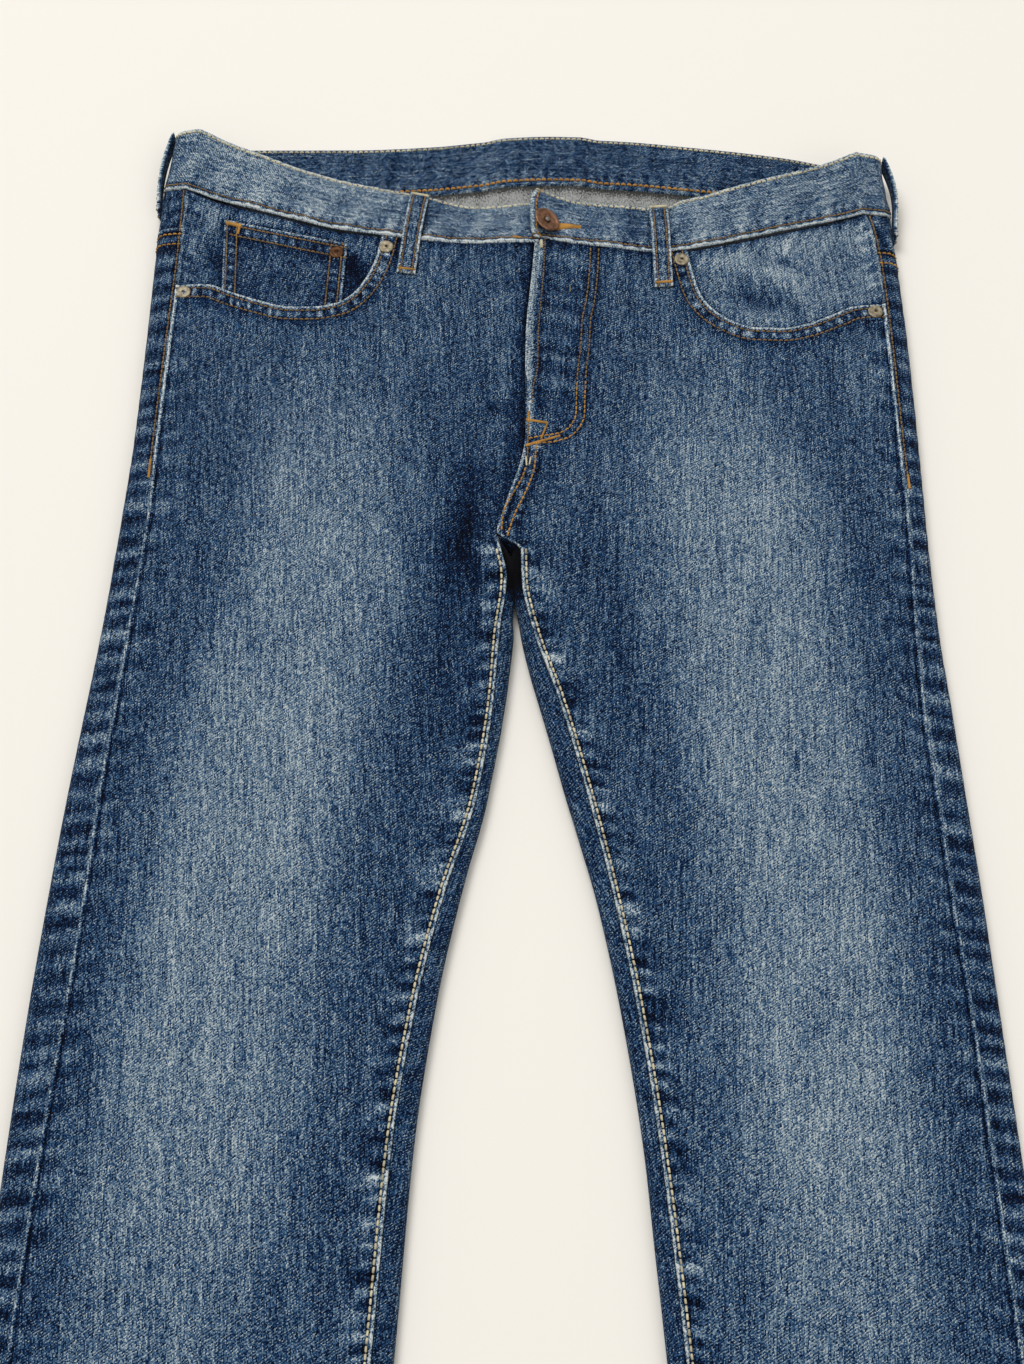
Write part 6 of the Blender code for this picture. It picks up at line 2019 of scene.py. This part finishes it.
def sew_fly():
    wall = walls["left_front_panel"]
    outer = smooth_line(FLY_SEWING, 120)
    inner = beside(outer, -FLY_ROW_GAP)
    inner = inner[inner[:, 0] > 5]
    for line in (outer, inner):
        sew("tan", wall.drop(line[line[:, 1] > 352]), 3.2, 0.76)
        sew("orange", wall.drop(line[line[:, 1] <= 352]), 3.1, 0.8)
    sew("tan", wall.along(LAST_COLUMN, 3.9), 2.4, 0.6, where=lambda p: p[:, 1] > 334)
    for corners in CROTCH_SEWING:
        sew("orange", wall.drop(smooth_line(corners, 40)), 3.1, 0.8, thick=1.15)
    sew("tan", wall.drop(smooth_line(ROLL_SEWING, 30)), 2.6, 0.9)
    for thread, ends, width in FLY_TACKS:
        points, ups = wall.drop(ends)
        if len(points) == 2:
            tack(thread, points, ups, width)


def stitch_tree(thread):
    """Geometry nodes that lay one arched stitch on each point and join them."""
    tree = bpy.data.node_groups.new(f"stitches_{thread}", "GeometryNodeTree")
    face = tree.interface
    for name, kind in (
        ("Geometry", "Geometry"),
        ("Thread Radius", "Float"),
        ("Arch", "Float"),
        ("Unevenness", "Float"),
        ("Seed", "Int"),
        ("Material", "Material"),
    ):
        face.new_socket(name, in_out="INPUT", socket_type=f"NodeSocket{kind}")
    face.new_socket("Geometry", in_out="OUTPUT", socket_type="NodeSocketGeometry")
    given = node(tree, "NodeGroupInput").outputs
    ends = {"Start": (-0.5, 0, 0), "End": (0.5, 0, 0)}
    line = node(tree, "GeometryNodeCurvePrimitiveLine", ends)
    points = node(tree, "GeometryNodeResampleCurve", {"Curve": line, "Count": 5})
    share = node(tree, "GeometryNodeSplineParameter").outputs["Factor"]
    centred = node(tree, MATH, share, 2.0, -1.0, operation="MULTIPLY_ADD")
    squared = node(tree, MATH, centred, centred, operation="MULTIPLY")
    rise = node(tree, MATH, squared, -1.7, 1.0, operation="MULTIPLY_ADD")
    height = node(tree, MATH, rise, given["Arch"], operation="MULTIPLY")
    moved = {"Geometry": points, "Offset": node(tree, COMBINE, {"Z": height})}
    arched = node(tree, "GeometryNodeSetPosition", moved)
    round_thread = {"Resolution": 5, "Radius": given["Thread Radius"]}
    ring = node(tree, "GeometryNodeCurvePrimitiveCircle", round_thread)
    swept = {"Curve": arched, "Profile Curve": ring, "Fill Caps": True}
    stitch = node(tree, "GeometryNodeCurveToMesh", swept)
    turn, size = (
        node(tree, "GeometryNodeInputNamedAttribute", {"Name": name}, data_type="FLOAT_VECTOR")
        for name in ("turn", "size")
    )
    low = node(tree, MATH, given["Unevenness"], -1.0, operation="MULTIPLY")
    uneven = {2: low, 3: given["Unevenness"], "Seed": given["Seed"]}
    random = node(tree, "FunctionNodeRandomValue", uneven, data_type="FLOAT").outputs[1]
    twist = node(tree, COMBINE, {"Z": random})
    turned_by = node(tree, "ShaderNodeVectorMath", turn, twist, operation="ADD")
    laid = {
        "Points": given["Geometry"],
        "Instance": stitch,
        "Rotation": turned_by,
        "Scale": size,
    }
    spread = node(tree, "GeometryNodeInstanceOnPoints", laid)
    joined = node(tree, "GeometryNodeRealizeInstances", spread)
    painted = {"Geometry": joined, "Material": given["Material"]}
    node(tree, "NodeGroupOutput", node(tree, "GeometryNodeSetMaterial", painted))
    return tree


def thread_piece(thread, look):
    """All the stitches of one thread, as one mesh."""
    rows = [row for row in sewing if row[0] == thread]
    if not rows:
        raise RuntimeError(f"there is nothing to sew with the {thread} thread")
    centres, ways, ups = (np.concatenate([row[k] for row in rows]) for k in (1, 2, 3))
    lengths, thick = (
        np.concatenate([np.full(len(row[1]), row[k]) for row in rows]) for k in (4, 5)
    )
    ways /= np.linalg.norm(ways, axis=1)[:, None]
    asides = np.cross(ups, ways)
    asides /= np.linalg.norm(asides, axis=1)[:, None]
    ups = np.cross(ways, asides)
    turns = [
        tuple(Matrix((tuple(w), tuple(a), tuple(u))).transposed().to_euler())
        for w, a, u in zip(ways, asides, ups)
    ]
    name = f"{thread}_stitches"
    mesh = bpy.data.meshes.new(name)
    mesh.from_pydata((centres * MM).tolist(), [], [])
    sizes = np.stack([lengths * MM, thick, thick], axis=1)
    for kind, values in (("turn", turns), ("size", sizes)):
        attribute = mesh.attributes.new(kind, "FLOAT_VECTOR", "POINT")
        attribute.data.foreach_set("vector", np.array(values, np.float32).ravel())
    thing = linked(name, mesh)
    tree = stitch_tree(thread)
    modifier = thing.modifiers.new("stitches", "NODES")
    modifier.node_group = tree
    spun = f"{thread}_spun_topstitch_thread"
    values = {
        "Thread Radius": look.thread_radius,
        "Arch": look.arch,
        "Unevenness": 0.09,
        "Seed": look.seed,
        "Material": material_of(spun, thread_material, spun, getattr(look, thread)),
    }
    for socket in tree.interface.items_tree:
        if socket.in_out == "INPUT" and socket.name in values:
            modifier[socket.identifier] = values[socket.name]
    graph = bpy.context.evaluated_depsgraph_get()
    plain = bpy.data.meshes.new_from_object(thing.evaluated_get(graph))
    thing.modifiers.remove(modifier)
    thing.data = plain
    plain.name = name
    plain.shade_smooth()
    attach(thing, BODY)
    return len(centres)


CAMERA_PLACE = (-0.0035, -0.4545, 1.16)
CAMERA_TILT = 28.0
FOCAL_PIXELS = 2340.0
IMAGE_HEIGHT = 1364.0
SENSOR = 36.0
# Lights: name, place, what it aims at, size and power
LIGHTS = (
    ("window", (-1.2, 1.9, 4.3), (0, 0.0, 0), 2.5, 149.0),
    ("room", (1.2, -1.6, 3.0), (0, -0.2, 0), 3.0, 32.0),
)
ROOM_COLOUR, ROOM_STRENGTH = "#f4f2ee", 0.43
FLOOR_REACH, FLOOR_LINES = 4.0, 24


def build_stage(colour):
    """The floor, the lights and the camera."""
    scene = bpy.context.scene
    mesh = bpy.data.meshes.new("floor")
    line = np.linspace(-FLOOR_REACH, FLOOR_REACH, FLOOR_LINES)
    verts = [(x, y, 0.0) for y in line for x in line]
    faces = quads_of(FLOOR_LINES, FLOOR_LINES)[..., [0, 3, 2, 1]].reshape(-1, 4)
    mesh.from_pydata(verts, [], faces.tolist())
    mesh.materials.append(material_of("floor", floor_material, colour))
    linked("floor", mesh)

    # The photograph is bright and crisp, so its colours go to the screen as they are.
    scene.view_settings.view_transform = "Standard"
    for name, place, aim, size, power in LIGHTS:
        light = bpy.data.lights.new(name, "AREA")
        light.shape = "SQUARE"
        light.size = size
        light.energy = power
        lamp = linked(name, light)
        lamp.location = place
        way = Vector(aim) - Vector(place)
        lamp.rotation_euler = way.to_track_quat("-Z", "Y").to_euler()
    world = bpy.data.worlds.new("soft_room")
    world.use_nodes = True
    background = world.node_tree.nodes["Background"]
    background.inputs[0].default_value = (*linear(ROOM_COLOUR), 1)
    background.inputs[1].default_value = ROOM_STRENGTH
    scene.world = world

    camera = bpy.data.cameras.new("photograph")
    camera.sensor_fit = "AUTO"
    camera.sensor_width = SENSOR
    camera.lens = SENSOR * FOCAL_PIXELS / IMAGE_HEIGHT
    camera.clip_start = 0.05
    eye = linked("photograph", camera)
    eye.location = CAMERA_PLACE
    eye.rotation_euler = (math.radians(CAMERA_TILT), 0, 0)
    scene.camera = eye


class JEANS_OT_fronts(bpy.types.Operator):
    """Builds both front legs"""

    bl_idname = "jeans.fronts"
    bl_label = "Front legs"

    def execute(self, context):
        for half in HALVES:
            build_front(half)
        return {"FINISHED"}


class JEANS_OT_backs(bpy.types.Operator):
    """Builds both back legs"""

    bl_idname = "jeans.backs"
    bl_label = "Back legs"

    def execute(self, context):
        for half in HALVES:
            build_back(half)
        return {"FINISHED"}


class JEANS_OT_yokes(bpy.types.Operator):
    """Builds both yokes with their sewing lines"""

    bl_idname = "jeans.yokes"
    bl_label = "Yokes"

    def execute(self, context):
        for half in HALVES:
            build_yoke(half)
        return {"FINISHED"}


class JEANS_OT_pockets(bpy.types.Operator):
    """Builds the pocket facings, the coin pocket and the back pockets"""

    bl_idname = "jeans.pockets"
    bl_label = "Pockets"

    def execute(self, context):
        for half in HALVES:
            build_facing(half)
            build_back_pocket(half)
        build_coin_pocket()
        return {"FINISHED"}


class JEANS_OT_fly(bpy.types.Operator):
    """Builds the fly's facing and shield"""

    bl_idname = "jeans.fly"
    bl_label = "Fly"

    def execute(self, context):
        build_fly()
        return {"FINISHED"}


class JEANS_OT_waistband(bpy.types.Operator):
    """Builds the waistband with its buttonhole"""

    bl_idname = "jeans.waistband"
    bl_label = "Waistband"

    def execute(self, context):
        build_waistband()
        return {"FINISHED"}


class JEANS_OT_loops(bpy.types.Operator):
    """Builds the five belt loops"""

    bl_idname = "jeans.loops"
    bl_label = "Belt loops"

    def execute(self, context):
        _, right, left = band_grid()
        for half, band in ((RIGHT, right), (LEFT, left)):
            build_loop(f"belt_loop_front_{half.name}", front_loop_grid(half, band), 1)
            side = side_loop_grid(half, band)
            build_loop(f"belt_loop_side_{half.name}", side, -half.sign, tacks=False)
        build_loop("belt_loop_back", back_loop_grid(), -1)
        return {"FINISHED"}


class JEANS_OT_hardware(bpy.types.Operator):
    """Builds the waist button and the rivets"""

    bl_idname = "jeans.hardware"
    bl_label = "Button and rivets"

    def execute(self, context):
        build_rivets(context.scene.jeans_setting)
        build_button(context.scene.jeans_setting)
        return {"FINISHED"}


class JEANS_OT_sewing(bpy.types.Operator):
    """Sews the stitches along every seam of the panels that are built"""

    bl_idname = "jeans.sewing"
    bl_label = "Sewing"

    def execute(self, context):
        names = (f"{half.name}_{side}_panel" for half in HALVES for side in ("front", "back"))
        missing = [name for name in names if name not in walls]
        if missing:
            raise RuntimeError(f"build the legs first: {missing}")
        sew_front()
        sew_fly()
        for thread in ("cream", "tan", "orange"):
            print(thread, thread_piece(thread, context.scene.jeans_sewing), "stitches")
        return {"FINISHED"}


class JEANS_OT_stage(bpy.types.Operator):
    """Sets the floor, the lights and the camera"""

    bl_idname = "jeans.stage"
    bl_label = "Floor, lights and camera"

    def execute(self, context):
        build_stage(context.scene.jeans_setting.floor)
        return {"FINISHED"}


STEPS = (
    JEANS_OT_stage,
    JEANS_OT_fronts,
    JEANS_OT_backs,
    JEANS_OT_yokes,
    JEANS_OT_pockets,
    JEANS_OT_fly,
    JEANS_OT_waistband,
    JEANS_OT_loops,
    JEANS_OT_hardware,
    JEANS_OT_sewing,
)
GROUPS = {"jeans_cloth": JeansCloth, "jeans_sewing": JeansSewing, "jeans_setting": JeansSetting}


class JEANS_PT_panel(bpy.types.Panel):
    """Lists the steps and the settings"""

    bl_idname = "JEANS_PT_panel"
    bl_label = "Slim fit jeans"
    bl_space_type = "VIEW_3D"
    bl_region_type = "UI"
    bl_category = "Jeans"

    def draw(self, context):
        layout = self.layout
        for name in GROUPS:
            group = getattr(context.scene, name)
            box = layout.box()
            for setting in group.__annotations__:
                box.prop(group, setting)
        for step in STEPS:
            layout.operator(step.bl_idname)


CLASSES = (*GROUPS.values(), *STEPS, JEANS_PT_panel)


def register():
    for cls in CLASSES:
        bpy.utils.register_class(cls)
    for name, group in GROUPS.items():
        setattr(bpy.types.Scene, name, PointerProperty(type=group))


def unregister():
    for name in GROUPS:
        delattr(bpy.types.Scene, name)
    for cls in reversed(CLASSES):
        bpy.utils.unregister_class(cls)


def main():
    register()
    for step in STEPS:
        group, name = step.bl_idname.split(".")
        getattr(getattr(bpy.ops, group), name)()


if __name__ == "__main__":
    main()
